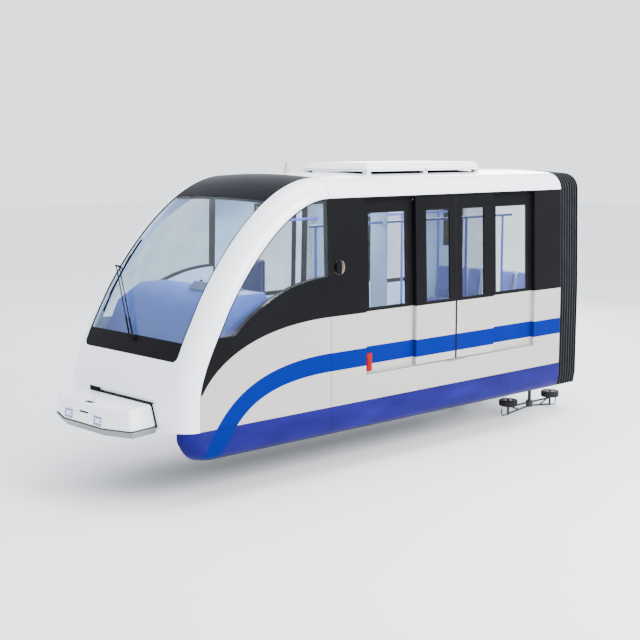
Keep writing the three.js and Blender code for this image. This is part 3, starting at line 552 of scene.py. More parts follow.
def glass_pane(name, tint):
    """Thin pane: light passes with a tint, and the surface mirrors more at a grazing angle."""
    nodes = Nodes(name)
    nodes.tree.nodes.remove(nodes.shader)
    clear = nodes.add("ShaderNodeBsdfTransparent")
    smudge = nodes.ramp(nodes.noise(3.0, 4.0), {0.3: shaded(linear(tint), 0.93), 0.7: linear(tint)})
    nodes.link(smudge, clear.inputs["Color"])
    gloss = nodes.add("ShaderNodeBsdfGlossy")
    nodes.link(nodes.spread(nodes.noise(8.0), 0.02, 0.07), gloss.inputs["Roughness"])
    weight = nodes.add("ShaderNodeLayerWeight", {"Blend": 0.5})
    strengths = {position: (*[share] * 3, 1.0) for position, share in MIRROR.items()}
    share = nodes.ramp(weight.outputs["Facing"], strengths)
    mix = nodes.add("ShaderNodeMixShader")
    nodes.link(share, mix.inputs["Fac"])
    nodes.link(clear.outputs["BSDF"], mix.inputs[1])
    nodes.link(gloss.outputs["BSDF"], mix.inputs[2])
    nodes.link(mix.outputs["Shader"], nodes.out.inputs["Surface"])
    return nodes.material


class Palette:
    """Every material, made once."""

    def __init__(self):
        for part, look in PAINTS.items():
            setattr(self, part, finish(**look))
        self.skirt = skirt_paint()
        self.cloth = bellows_cloth()
        self.steel = steel_paint()
        self.under = underside_paint()
        self.floor = floor_cover()
        self.seat = fabric("driver_seat_cloth", 0x18245C)
        self.bench = fabric("bench_cloth", 0x4C57A0)
        self.screen = glass_pane("windscreen_glass", 0xE6EEF4)
        self.side_glass = glass_pane("side_window_glass", 0xEEF3F6)
        self.door_glass = glass_pane("door_glass", 0xC9CFD6)
        self.lens = lamp_lens()
        self.side = [self.grey, self.stripe, self.black, self.lining]


# Curves


def bezier(a, b, c, d, t):
    s = 1 - t
    weights = (s**3, 3 * s * s * t, 3 * s * t * t, t**3)
    return tuple(sum(w * p[k] for w, p in zip(weights, (a, b, c, d))) for k in (0, 1))


def catmull(a, b, c, d, t):
    return 0.5 * (2 * b + (c - a) * t + (2 * a - 5 * b + 4 * c - d) * t * t + (3 * b - a - 3 * c + d) * t**3)


def curve_through(points, count):
    """Smooth curve through points, count steps between neighbours."""
    padded = [points[0], *points, points[-1]]
    smooth = []
    for p0, p1, p2, p3 in zip(padded, padded[1:], padded[2:], padded[3:]):
        for k in range(count):
            smooth.append(tuple(catmull(a, b, c, d, k / count) for a, b, c, d in zip(p0, p1, p2, p3)))
    return smooth + [points[-1]]


def crossing(points, value, axis=0):
    """The other coordinate of a line where one of them reaches a value, or None where it doesn't."""
    for start, end in zip(points, points[1:]):
        low, high = start[axis], end[axis]
        if low <= value <= high and low < high:
            first, last = start[1 - axis], end[1 - axis]
            return first + (last - first) * (value - low) / (high - low)
    return None


# Body surface


def skin(z):
    """Half width of the body side at a height."""
    rise = max(0.0, z - WAIST_Z) / (CANTRAIL_Z - WAIST_Z)
    return WAIST_HALF - (WAIST_HALF - CANTRAIL_HALF) * rise


def on_side(x, z, depth=0.0):
    """Point on the left side, a depth under the skin."""
    return (x, -skin(z) + depth, z)


def add_sheet(shape, rows, columns, depths, place=on_side, keep=None, paint=only(0), inner_paint=None):
    """Slab between two depths, with its points at place(row, column, depth)."""
    grids = [[[place(row, column, depth) for column in columns] for row in rows] for depth in depths]
    add_slab(shape, *grids, keep, paint, inner_paint)


# Nose profile: straight up from the foot, then two cubic curves to the roof
PROFILE = {
    "foot": (NOSE_X, SKIRT_TOP_Z),
    "bend": (NOSE_X, 560),
    "bend_pull": 360,
    "knee": (-3950, 1606),
    "knee_angle": 62,
    "knee_pull": (240, 160),
    "roof": (SEAM_X, ROOF_Z),
    "roof_pull": 938,
}
PROFILE_SAMPLES = 400


def nose_profile():
    """Points of the profile with the length up to each."""
    lean = math.radians(PROFILE["knee_angle"])
    along = (math.cos(lean), math.sin(lean))
    foot, bend, knee, roof_start = (PROFILE[key] for key in ("foot", "bend", "knee", "roof"))
    before, after = PROFILE["knee_pull"]
    below_knee = tuple(k - before * a for k, a in zip(knee, along))
    above_knee = tuple(k + after * a for k, a in zip(knee, along))
    above_bend = (bend[0], bend[1] + PROFILE["bend_pull"])
    before_roof = (roof_start[0] - PROFILE["roof_pull"], roof_start[1])
    shares = steps(0, 1, PROFILE_SAMPLES)
    points = [foot] + [bezier(bend, above_bend, below_knee, knee, t) for t in shares]
    points += [bezier(knee, above_knee, before_roof, roof_start, t) for t in shares[1:]]
    lengths = [0.0]
    for a, b in zip(points, points[1:]):
        lengths.append(lengths[-1] + math.dist(a, b))
    return points, lengths


PROFILE_POINTS, PROFILE_LENGTHS = nose_profile()
PROFILE_LENGTH = PROFILE_LENGTHS[-1]


class Station:
    """A place on the profile: point, inward normal, edge radius, crown and half width."""

    def __init__(self, length):
        self.length = min(max(length, 0.0), PROFILE_LENGTH)
        k = max(j for j, reached in enumerate(PROFILE_LENGTHS[:-1]) if reached <= self.length)
        (ax, az), (bx, bz) = PROFILE_POINTS[k], PROFILE_POINTS[k + 1]
        run = PROFILE_LENGTHS[k + 1] - PROFILE_LENGTHS[k]
        t = (self.length - PROFILE_LENGTHS[k]) / run
        self.x, self.z = ax + (bx - ax) * t, az + (bz - az) * t
        self.inward = ((bz - az) / run, -(bx - ax) / run)
        share = self.length / PROFILE_LENGTH
        self.radius = EDGE_RADIUS[0] + (EDGE_RADIUS[1] - EDGE_RADIUS[0]) * share
        self.crown = CROWN[0] + (CROWN[1] - CROWN[0]) * share
        self.half = skin(self.z + self.radius * self.inward[1])
        self.flat = self.half - self.radius

    def at(self, y, depth):
        return (self.x + self.inward[0] * depth, y, self.z + self.inward[1] * depth)

    def on_flat(self, y, depth=0.0):
        """Point on the crowned front or roof, a depth under its surface."""
        return self.at(y, self.crown * (y / self.flat) ** 2 + depth)

    def on_edge(self, angle, side, depth=0.0):
        """Point on the rounded edge; angle runs from 0 at the front to 90 degrees at the body side."""
        y = self.flat + (self.radius - depth) * math.sin(angle)
        drop = self.crown + depth + (self.radius - self.crown - depth) * (1 - math.cos(angle))
        return self.at(side * y, drop)


def stations_at(lengths):
    return [Station(length) for length in lengths]


def length_at_height(z):
    """Length along the profile where it reaches a height."""
    heights = [height for _, height in PROFILE_POINTS]
    length = crossing(list(zip(heights, PROFILE_LENGTHS)), z)
    return PROFILE_LENGTH if length is None else length


EDGE_STEPS = 12


def across(place, middle, depth):
    """Row from the left side over both rounded edges to the right side, with given points between them."""
    angles = steps(math.pi / 2, 0, EDGE_STEPS)
    left = [place.on_edge(angle, -1, depth) for angle in angles]
    right = [place.on_edge(angle, 1, depth) for angle in reversed(angles)]
    return left + [place.on_flat(y, depth) for y in middle] + right


# Windscreen opening with rounded lower corners, its black band, and the dark cap over it
SCREEN_LOW_Z = 1002
SCREEN_CORNER = 80
FRIT_TOP_Z = 1208
CAP_FRONT_Z = 2726
SCREEN_START = length_at_height(SCREEN_LOW_Z)
FRIT_END = length_at_height(FRIT_TOP_Z)
CAP_START = length_at_height(CAP_FRONT_Z)
SEAL = 14
SEAL_DEPTHS = (-1.5, 12)
PANE_DEPTHS = (0.5, 16)
PANE_INSET = 6
PANE_SHARES = steps(-1, 1, 12)
CAP_DEPTHS = (0, 40)
CORNER_STEPS = 8


def opening_half(place, inset=0.0):
    """Half width of the windscreen opening, narrowed at its rounded lower corners."""
    radius = SCREEN_CORNER - inset
    rise = min(1.0, max(0.0, (place.length - SCREEN_START - inset) / radius))
    narrow = radius * (1 - math.sqrt(1 - (1 - rise) ** 2))
    return place.flat - inset - narrow


def on_pane(place, share, depth):
    return place.on_flat(share * opening_half(place, PANE_INSET), depth)


def corner_lengths(inset):
    """Lengths along the profile that round off the windscreen's lower corner."""
    radius = SCREEN_CORNER - inset
    start = SCREEN_START + inset
    turns = [math.pi / 2 * k / CORNER_STEPS for k in range(CORNER_STEPS + 1)]
    return [start + radius * (1 - math.cos(turn)) for turn in turns]


# Slot in the front panel, over the coupler housing
NOSE_SLOT_Z = (517, 562)
PANEL_HALF_SHARES = (-1, -0.771, -0.6, -0.4, -0.2, 0, 0.2, 0.4, 0.6, 0.771, 1)
# Blocks behind the slot, their x from the nose's face back: white liner, dark strip at its foot painted as
# the shade there, bracket
SLOT_BLOCKS = (
    {"x": (24, SHELL), "y": (-644, 644), "z": (513, 566), "paint": 0},
    # Painted shade: dark strip along the foot of the slot
    {"x": (18, 25), "y": (-644, 644), "z": (515, 529), "paint": 1},
    {"x": (3, 25), "y": (440, 630), "z": (515, 561), "paint": 1},
)


def hoop_stations():
    slot_low, slot_high = (length_at_height(z) for z in NOSE_SLOT_Z)
    low = steps(0, slot_low, 6) + [slot_high] + steps(slot_high, SCREEN_START, 10)[1:]
    corner = corner_lengths(0)[1:]
    high = steps(corner[-1], PROFILE_LENGTH, 64)[1:]
    return stations_at(low + corner + high)


def hoop_row(place, depth):
    half = opening_half(place)
    return across(place, [share * half for share in PANEL_HALF_SHARES], depth)


def nose_shell(palette):
    """White hoop and front panel in one shell, open for the windscreen and the slot."""
    stations = hoop_stations()
    first = EDGE_STEPS + 1
    last = first + len(PANEL_HALF_SHARES) - 1
    end = SCREEN_START + 0.01

    def keep(i, j):
        if not first <= j < last:
            return True
        in_slot = within((stations[i].z + stations[i + 1].z) / 2, NOSE_SLOT_Z) and first < j < last - 1
        return stations[i + 1].length <= end and not in_slot

    shape = Shape()
    outer, inner = ([hoop_row(place, depth) for place in stations] for depth in (0, SHELL))
    add_slab(shape, outer, inner, keep, inner_paint=only(1))
    materials = [palette.white, palette.lining]
    make("nose_shell_looks", shape, materials, stands_for=["nose_shell"], slot="body_white")


def nose_slot_liner(palette):
    """White back of the slot over the coupler housing, painted dark along its foot as the shade there, with a
    bracket at the right.
    """
    shape = Shape()
    for block in SLOT_BLOCKS:
        x = [NOSE_X + reach for reach in block["x"]]
        add_box(shape, x, block["y"], block["z"], block["paint"])
    make("nose_slot_liner", shape, [palette.white, palette.rubber])


def windscreen(palette):
    """Pane with the black band printed along its lower edge."""
    corner = corner_lengths(PANE_INSET)
    lengths = corner + steps(corner[-1], FRIT_END, 4)[1:] + steps(FRIT_END, CAP_START, 36)[1:]
    banded = len(corner) + 3

    def printed(i, j):
        return 1 if i < banded else 0

    shape = Shape()
    add_sheet(shape, stations_at(lengths), PANE_SHARES, PANE_DEPTHS, on_pane, paint=printed)
    materials = [palette.screen, palette.black]
    make("windscreen_looks", shape, materials, stands_for=["windscreen"], slot="window_glass")


def windscreen_seal(palette):
    """Black rubber round the windscreen and the cap."""
    lengths = corner_lengths(0)[1:] + steps(SCREEN_START + SCREEN_CORNER, PROFILE_LENGTH, 60)[1:]
    shape = Shape()
    for side in (-1, 1):

        def upright(place, inset, depth):
            return place.on_flat(side * opening_half(place, inset), depth)

        add_sheet(shape, stations_at(lengths), (0, SEAL), SEAL_DEPTHS, upright)
    foot = stations_at((SCREEN_START, SCREEN_START + SEAL))
    half = opening_half(foot[1], SEAL)

    def level(place, share, depth):
        return place.on_flat(share * half, depth)

    add_sheet(shape, foot, PANE_SHARES, SEAL_DEPTHS, level)
    make("windscreen_seal", shape, [palette.rubber])


def windscreen_cap(palette):
    stations = stations_at(steps(CAP_START + 2, PROFILE_LENGTH, 24))
    shape = Shape()
    add_sheet(shape, stations, PANE_SHARES, CAP_DEPTHS, on_pane)
    make("windscreen_cap_looks", shape, [palette.cap], stands_for=["windscreen_cap"], slot="dark_panel")


# Curves of the side's colour bands: start, length and angle of the first pull, length of the last one, end
BAND = {
    "panel_foot": {"start": (-4077, 657), "pull": 465, "angle": 57.8, "last": 1051, "end": (SEAM_X, 1330)},
    "stripe_top": {"start": (-4043, -5), "pull": 543, "angle": 63.0, "last": 1234, "end": (SEAM_X, 898)},
    "stripe_foot": {"start": (-3800, -30), "pull": 428, "angle": 58.7, "last": 1170, "end": (SEAM_X, 678)},
    "glass_foot": {"start": (-3607, 1258), "pull": 327, "angle": 41.7, "last": 731, "end": (SEAM_X, 1805)},
}
BAND_SAMPLES = 80


def band_points(name):
    band = BAND[name]
    (x0, z0), (x1, z1) = band["start"], band["end"]
    lean = math.radians(band["angle"])
    first = (x0 + band["pull"] * math.cos(lean), z0 + band["pull"] * math.sin(lean))
    last = (x1 - band["last"], z1)
    return [bezier((x0, z0), first, last, (x1, z1), t) for t in steps(0, 1, BAND_SAMPLES)]


BAND_POINTS = {name: band_points(name) for name in BAND}


def band_height(name, x):
    """Height of a band's curve at x, level before its start and after its end."""
    points = BAND_POINTS[name]
    if x <= points[0][0]:
        return points[0][1]
    height = crossing(points, x)
    return points[-1][1] if height is None else height


def band_place(name, z):
    """x of a band's curve at a height, straight on below its start."""
    points = BAND_POINTS[name]
    (x0, z0), (x1, z1) = points[0], points[1]
    if z <= z0:
        return x0 + (z - z0) * (x1 - x0) / (z1 - z0)
    place = crossing(points, z, 1)
    return points[-1][0] if place is None else place


def hoop_inner(length, extra=0.0):
    """Inner edge of the white hoop on the body side, as (x, z)."""
    place = Station(length)
    reach = place.radius + extra
    return (place.x + place.inward[0] * reach, place.z + place.inward[1] * reach)


# Bands of the cab side from its foot up, with the rows of cells and the material of each
CAB_POST_X = SEAM_X - 30
CAB_SAMPLES = 150
CAB_BANDS = ("stripe_foot", "stripe_top", "panel_foot", "glass_foot")
CAB_ROWS = (6, 4, 6, 7, 8)
CAB_BAND_OF_ROW = [band for band, count in enumerate(CAB_ROWS) for _ in range(count)]
CAB_BAND_PAINT = (0, 1, 0, 2, 2)
GLASS_BAND = 4


def cab_columns():
    """Points along the hoop's inner edge, one of them at the post."""
    columns = [hoop_inner(length) for length in steps(0, PROFILE_LENGTH, CAB_SAMPLES)]
    before = [column for column in columns if column[0] < CAB_POST_X - 2]
    after = [column for column in columns if column[0] > CAB_POST_X + 2]
    return [*before, (CAB_POST_X, crossing([before[-1], after[0]], CAB_POST_X)), *after]


def cab_heights(x, top):
    """Heights of a column of the cab side, band by band."""
    levels = [SKIRT_TOP_Z, *(band_height(name, x) for name in CAB_BANDS), top]
    levels = [min(max(level, SKIRT_TOP_Z), top) for level in levels]
    heights = [levels[0]]
    for low, high, count in zip(levels, levels[1:], CAB_ROWS):
        heights += steps(low, high, count)[1:]
    return heights


def cab_grid(depth):
    return [[on_side(x, z, depth) for z in cab_heights(x, top)] for x, top in cab_columns()]


def cab_sides(palette):
    """Side panels of the cab: grey, stripe and black panel, open for the window."""
    columns = cab_columns()

    def keep(i, j):
        return CAB_BAND_OF_ROW[j] != GLASS_BAND or columns[i][0] >= CAB_POST_X - 0.5

    def paint_of(i, j):
        return CAB_BAND_PAINT[CAB_BAND_OF_ROW[j]]

    shape = Shape()
    add_slab(shape, cab_grid(0), cab_grid(CAB_WALL), keep, paint_of, only(LINED))
    make_pair("cab_side_looks", shape, palette.side, stands_for=["cab_side_*"], slot="body_side")


def cab_windows(palette):
    columns = cab_columns()

    def keep(i, j):
        return CAB_BAND_OF_ROW[j] == GLASS_BAND and columns[i + 1][0] <= CAB_POST_X + 0.5

    shape = Shape()
    add_slab(shape, cab_grid(1), cab_grid(1 + GLASS), keep)
    panes = [palette.side_glass]
    make_pair("cab_window_looks", shape, panes, stands_for=["cab_window_*"], slot="window_glass")


HOOP_LINE = {"foot_z": 640, "depths": (-1.2, 8)}


def hoop_line(palette):
    """Thin black line where the hoop meets the cab window and the black panel."""
    fine = steps(0, PROFILE_LENGTH, 1000)
    start = next(length for length in fine if hoop_inner(length)[1] >= HOOP_LINE["foot_z"])

    def on_hoop(length, inset, depth):
        return on_side(*hoop_inner(length, inset), depth)

    shape = Shape()
    add_sheet(shape, steps(start, PROFILE_LENGTH, 90), (0, SEAL), HOOP_LINE["depths"], on_hoop)
    make_pair("hoop_line", shape, [palette.rubber])


# Saloon sides
WINDOWS_X = {"front": (-1470, -780), "rear": (964, 1666)}
SIDE_COLOURS = ((STRIPE_Z[0], 0), (STRIPE_Z[1], 1), (WAIST_Z, 0), (ROOF_Z, 2))
DARK = 2
LINED = 3


def side_colour(z):
    """Number of the material at a height of the saloon side: grey, stripe or black."""
    return next(number for top, number in SIDE_COLOURS if z < top)


def leaf_inside(z):
    """Door leaves are dark inside from the foot of their window up."""
    return DARK if z > WINDOW_Z[0] else LINED


def within(value, limits):
    return limits[0] < value < limits[1]


def middles(values):
    return [(a + b) / 2 for a, b in zip(values, values[1:])]


def relief(shape, xs, zs, depths, keep, inside=lambda z: LINED):
    """Flat part of the side between two depths, coloured by height. keep is asked for each cell's middle."""
    mid_x, mid_z = middles(xs), middles(zs)

    def kept(i, j):
        return keep(mid_x[i], mid_z[j])

    def outside(i, j):
        return side_colour(mid_z[j])

    add_sheet(shape, xs, zs, depths, on_side, kept, outside, lambda i, j: inside(mid_z[j]))


def add_frame(shape, x, z, width, depths):
    """Rectangular frame on the side, inside the given opening."""
    xs = [x[0], x[0] + width, x[1] - width, x[1]]
    zs = [z[0], z[0] + width, z[1] - width, z[1]]
    add_sheet(shape, xs, zs, depths, keep=lambda i, j: not (i == 1 and j == 1))


DOOR_RAIL = {"z": (2636, 2656), "depth": (50, POCKET_DEPTH + 5)}


def side_walls(palette):
    """Saloon wall round the door pocket, with the round recess of the grip by the cab."""
    shape = Shape()
    pocket_z = (FLOOR_Z, POCKET_TOP_Z)
    xs = [SEAM_X + FIT, *POCKET_X, BODY_END_X]
    zs = [SKIRT_TOP_Z + FIT, FLOOR_Z, *STRIPE_Z, WAIST_Z, POCKET_TOP_Z, CANTRAIL_Z]
    relief(shape, xs, zs, (0, WALL), lambda x, z: not (within(x, POCKET_X) and within(z, pocket_z)))
    settings = {"stands_for": ["side_wall_*"], "slot": "body_side", "bevel": 1.5, "cutter": handle_cutter()}
    make_pair("side_wall_looks", shape, palette.side, **settings)


def door_pockets(palette):
    """Sunk panel the doors slide over, with the doorway, its windows and the rail the leaves hang on."""
    shape = Shape()
    xs = [POCKET_X[0], *WINDOWS_X["front"], *DOORWAY_X, *WINDOWS_X["rear"], POCKET_X[1]]
    zs = [FLOOR_Z, *STRIPE_Z, WAIST_Z, *WINDOW_Z, DOORWAY_TOP_Z, POCKET_TOP_Z]

    def in_pocket(x, z):
        in_window = within(z, WINDOW_Z) and any(within(x, span) for span in WINDOWS_X.values())
        return not in_window and not (within(x, DOORWAY_X) and z < DOORWAY_TOP_Z)

    relief(shape, xs, zs, (POCKET_DEPTH, WALL), in_pocket)
    add_sheet(shape, POCKET_X, DOOR_RAIL["z"], DOOR_RAIL["depth"], paint=only(DARK))
    make_pair("door_pocket_looks", shape, palette.side, slot="body_side", bevel=1.5)


WINDOW_RUBBER = {"width": 16, "depths": (POCKET_DEPTH - 2, POCKET_DEPTH + 24)}


def saloon_windows(palette):
    """Panes behind the pocket, with a dark rubber frame."""
    depth = POCKET_DEPTH + 6
    for place, (x0, x1) in WINDOWS_X.items():
        name = f"saloon_window_{place}"
        pane = Shape()
        xs, zs = (x0 + FIT, x1 - FIT), (WINDOW_Z[0] + FIT, WINDOW_Z[1] - FIT)
        add_sheet(pane, xs, zs, (depth, depth + GLASS))
        panes = [palette.side_glass]
        make_pair(f"{name}_looks", pane, panes, stands_for=[f"{name}_*"], slot="window_glass")
        frame = Shape()
        add_frame(frame, (x0, x1), WINDOW_Z, WINDOW_RUBBER["width"], WINDOW_RUBBER["depths"])
        make_pair(f"{name}_rubber", frame, [palette.rubber], bevel=1.5)


LEAF_GAP = 2.5
LEAF_Z = (FLOOR_Z + CLEAR, POCKET_TOP_Z - CLEAR)
LEAVES = {
    "front": {"x": (DOOR_X[0], DOOR_SEAM_X - LEAF_GAP), "window": (-490, -10), "seam": 1},
    "rear": {"x": (DOOR_SEAM_X + LEAF_GAP, DOOR_X[1]), "window": (202, 682), "seam": 0},
}
DOOR_HOOK = {"z": (2657, 2672), "depth": (LEAF - 1, LEAF + 14)}
DOOR_RUBBER = {"width": 14, "depths": (-0.6, 24), "edge_depths": (-1.2, LEAF)}
DOOR_GLASS_DEPTHS = (12, 12 + GLASS)


def door_leaves(palette):
    """Sliding leaves with a window and the hook that hangs them on the rail."""
    for place, leaf in LEAVES.items():
        (x0, x1), window = leaf["x"], leaf["window"]
        zs = [LEAF_Z[0], *STRIPE_Z, WAIST_Z, *WINDOW_Z, LEAF_Z[1]]

        def solid(x, z):
            return not (within(x, window) and within(z, WINDOW_Z))

        shape = Shape()
        relief(shape, [x0, *window, x1], zs, (0, LEAF), solid, leaf_inside)
        add_sheet(shape, (x0, x1), DOOR_HOOK["z"], DOOR_HOOK["depth"])
        body = f"door_{place}_*"
        settings = {"stands_for": [f"door_leaf_{place}_*"], "slot": "body_side", "bevel": 2}
        make_pair(f"door_leaf_{place}_looks", shape, palette.side, body, **settings)
        door_glass(palette, place, window, body)
        door_rubber(palette, place, leaf, body)


def door_glass(palette, place, window, body):
    shape = Shape()
    add_sheet(shape, window, WINDOW_Z, DOOR_GLASS_DEPTHS)
    nodes = [f"door_glass_{place}_*"]
    make_pair(f"door_glass_{place}_looks", shape, [palette.door_glass], body, nodes, slot="window_glass")


def door_rubber(palette, place, leaf, body):
    """Rubber frame round the glass, and a rubber edge at the seam."""
    width = DOOR_RUBBER["width"]
    shape = Shape()
    add_frame(shape, leaf["window"], WINDOW_Z, width, DOOR_RUBBER["depths"])
    edge = leaf["x"][leaf["seam"]]
    xs = (edge - width, edge) if leaf["seam"] else (edge, edge + width)
    add_sheet(shape, xs, (LEAF_Z[0], WAIST_Z, LEAF_Z[1]), DOOR_RUBBER["edge_depths"])
    make_pair(f"door_rubber_{place}", shape, [palette.rubber], body, bevel=1)


# Skirt: curved under at its lower edge, turned round the nose corner and raked there
SKIRT_SECTION = ((WAIST_HALF, SKIRT_TOP_Z), (WAIST_HALF, 120), (1143, 20), (1122, -50), (1078, SKIRT_LOW_Z))
SKIRT_CURVE = curve_through(SKIRT_SECTION, 5)
RAKE = ((-3960, -106), (-4066, -98), (-4168, -53), (-4250, 18), (-4311, 110), (-4345, 180), (-4364, 246))
RAKE_CURVE = curve_through(RAKE, 8)
CORNER_AXIS = (NOSE_X + EDGE_RADIUS[0], WAIST_HALF - EDGE_RADIUS[0])
CORNER_SWEEP = math.radians(64)
SKIRT_STEPS = (14, 6, 14)
# Below this height the skirt is painted darker as shade where it turns under
SKIRT_SHADE_Z = -82
SILL = {"x": (-4000, BODY_END_X - 4), "y": (-1010, -930), "z": (200, 525.7)}
BRACKET = {"x": (-3900, -2566, -1100, 366, 1900), "half": 30, "y": (-1127, -1005), "z": (140, 240)}


def rake_x(z):
    place = crossing(RAKE_CURVE, z, 1)
    return RAKE[0][0] if place is None else place


def skirt_row(y, z, depth):
    """Points of the skirt at one height, from the nose corner to the rear, a depth inside."""
    axis_x, axis_y = CORNER_AXIS
    reach = y - axis_y
    turn = max(axis_x, rake_x(z) + reach * math.sin(CORNER_SWEEP))
    front = turn - reach * math.sin(CORNER_SWEEP)
    stripe = max(front, band_place("stripe_top", z))
    behind = max(stripe, band_place("stripe_foot", z))
    stops = [front]
    for start, end, count in zip((front, stripe, behind), (stripe, behind, BODY_END_X), SKIRT_STEPS):
        stops += steps(start, end, count)[1:]
    row = []
    for x in stops:
        angle = math.asin(max(0.0, turn - x) / reach)
        inner_x = turn - (reach - depth) * math.sin(angle) if x < turn else x
        row.append((inner_x, -axis_y - (reach - depth) * math.cos(angle), z))
    return row


def skirts(palette):
    """Blue skirt with the stripe running down over it, painted darker along its lower edge as shade where it
    turns under, and the sill behind it.
    """
    shape = Shape()
    outer, inner = ([skirt_row(y, z, depth) for y, z in SKIRT_CURVE] for depth in (0, SKIRT_SKIN))
    striped = range(SKIRT_STEPS[0], SKIRT_STEPS[0] + SKIRT_STEPS[1])

    def paint_of(i, j):
        # Painted shade on the turned-under lower edge
        if SKIRT_CURVE[i + 1][1] < SKIRT_SHADE_Z:
            return 2
        return 1 if j in striped else 0

    add_slab(shape, outer, inner, paint=paint_of, inner_paint=only(3))
    add_box(shape, SILL["x"], SILL["y"], SILL["z"], 3)
    for x in BRACKET["x"]:
        add_box(shape, (x - BRACKET["half"], x + BRACKET["half"]), BRACKET["y"], BRACKET["z"], 3)
    materials = [palette.skirt, palette.skirt_stripe, palette.lip, palette.under]
    make_pair("skirt_looks", shape, materials, stands_for=["skirt_*"], slot="skirt_blue")


# Roof


def roof_section(thickness):
    """Roof from the left cantrail to the right one, as (y, z)."""
    place = Station(PROFILE_LENGTH)
    row = across(place, [share * place.flat for share in PANE_SHARES[1:-1]], thickness)
    return [(y, max(z, CANTRAIL_Z + FIT)) for _, y, z in row]


def roof(palette):
    xs = steps(SEAM_X + FIT, BODY_END_X, 6)
    shape = Shape()
    grids = [[[(x, y, z) for y, z in roof_section(depth)] for x in xs] for depth in (0, SHELL)]
    add_slab(shape, *grids, inner_paint=only(1))
    materials = [palette.white, palette.lining]
    make("roof_shell_looks", shape, materials, stands_for=["roof_shell"], slot="body_white")


ROOF_UNIT = {
    "low": {"z": 3006, "x": (-1026, 1210), "half": 600},
    "top": {"z": 3116, "x": (-952, 1156), "half": 536},
    "split": (88, 96),
    # Height and inset of the dark block under the lid, painted shade in the gap
    "gap_shade": 24,
    "gap_shade_inset": 12,
    "foot_x": (-1000, 60, 1110),
    "foot_length": 74,
    "foot_y": (500, 580),
    "foot_low_z": 2962,
    "overlap": 5,
    # Inset and depths of the painted shadow on the roof under the unit
    "shadow_inset": 20,
    "shadow_depths": (-2, 4),
}


def rectangle(x, half):
    return [(x[0], -half), (x[1], -half), (x[1], half), (x[0], half)]


def roof_unit_lid(palette):
    """Lid with sloping sides, split across its middle."""
    low, top, split = ROOF_UNIT["low"], ROOF_UNIT["top"], ROOF_UNIT["split"]
    lids = Shape()
    for end in (0, 1):
        spans = [sorted((level["x"][end], split[end])) for level in (low, top)]
        levels = zip((low, top), spans)
        add_loft(lids, [(level["z"], rectangle(span, level["half"])) for level, span in levels])
    make("roof_unit_lid", lids, [palette.white], stands_for=["roof_unit"], slot="body_white", bevel=14)


def roof_unit_feet(palette):
    """White feet, and a dark block under the lid painted as the shade in the gap."""
    low, inset, overlap = (ROOF_UNIT[key] for key in ("low", "gap_shade_inset", "overlap"))
    tray = Shape()
    spans = [(low["x"][0] + inset, low["x"][1] - inset), (inset - low["half"], low["half"] - inset)]
    # Dark block under the lid: painted shade in the gap under the unit
    add_box(tray, *spans, (low["z"] - overlap, low["z"] + ROOF_UNIT["gap_shade"]), 1)
    foot_z = (ROOF_UNIT["foot_low_z"], low["z"] + overlap)
    for x in ROOF_UNIT["foot_x"]:
        for side in (-1, 1):
            y = sorted(side * v for v in ROOF_UNIT["foot_y"])
            add_box(tray, (x, x + ROOF_UNIT["foot_length"]), y, foot_z)
    make("roof_unit_feet", tray, [palette.white, palette.rubber], slot="body_white", bevel=3)


def roof_unit_shadow(palette):
    """Painted shadow on the roof under the unit, seen through the gap."""
    low, inset = ROOF_UNIT["low"], ROOF_UNIT["shadow_inset"]
    end = Station(PROFILE_LENGTH)
    shadow = Shape()
    xs = steps(low["x"][0] + inset, low["x"][1] - inset, 4)
    ys = steps(inset - low["half"], low["half"] - inset, 8)
    add_sheet(shadow, xs, ys, ROOF_UNIT["shadow_depths"], lambda x, y, depth: (x, *end.on_flat(y, depth)[1:]))
    make("roof_unit_shadow", shadow, [palette.rubber])


AERIAL = {"x": -1830, "half": 16, "z": (2980, 3000, 3128), "foot": (-44, 40), "top": 8}


def aerial(palette):
    """Fin that narrows to its top."""
    low, bend, top = AERIAL["z"]
    (ahead, behind), tip = AERIAL["foot"], AERIAL["top"]
    fin = [(ahead, low), (behind, low), (behind, bend), (tip, top), (-tip, top), (ahead, bend)]
    outline = [(AERIAL["x"] + along, z) for along, z in fin]
    shape = Shape()
    add_prism(shape, outline, -AERIAL["half"], AERIAL["half"], along_y)
    make("aerial_looks", shape, [palette.grey], stands_for=["aerial"], slot="body_side", bevel=7)


# Gangway
FOLD_COUNT = 7
FOLD_STEPS = 10
FOLD_RIDGE = 16
FOLD_VALLEY = 52
FOLD_CLOTH = 30
FOLD_LIGHTER = (4, 5)
END_RING = 18
# Right side of the gangway from its foot up, as (inset from the widest place, z)
GANGWAY_SIDE = ((30, SKIRT_LOW_Z + 6), (0, 60), (0, WAIST_Z))


def gangway_section(inset):
    sides = [(WAIST_HALF - inset - drawn_in, z) for drawn_in, z in GANGWAY_SIDE]
    return [(-y, z) for y, z in sides] + roof_section(inset) + sides[::-1]


def bellows(palette):
    """Seven rounded folds; the ridges are a lighter cloth than the valleys."""
    count = FOLD_COUNT * FOLD_STEPS
    xs = steps(BODY_END_X + FIT, GANGWAY_END_X - END_RING - FIT, count)
    middle, swing = (FOLD_RIDGE + FOLD_VALLEY) / 2, (FOLD_VALLEY - FOLD_RIDGE) / 2
    insets = [middle + swing * math.cos(2 * math.pi * k / FOLD_STEPS) for k in range(count + 1)]
    grids = []
    for deeper in (0, FOLD_CLOTH):
        sections = [gangway_section(inset + deeper) for inset in insets]
        grids.append([[(x, y, z) for y, z in section] for x, section in zip(xs, sections)])
    shape = Shape()
    add_slab(shape, *grids, None, lambda i, j: 1 if i % FOLD_STEPS in FOLD_LIGHTER else 0, only(0))
    materials = [palette.cloth, palette.ridge]
    make("bellows_looks", shape, materials, stands_for=["bellows"], slot="bellows_cloth", sharp=70)


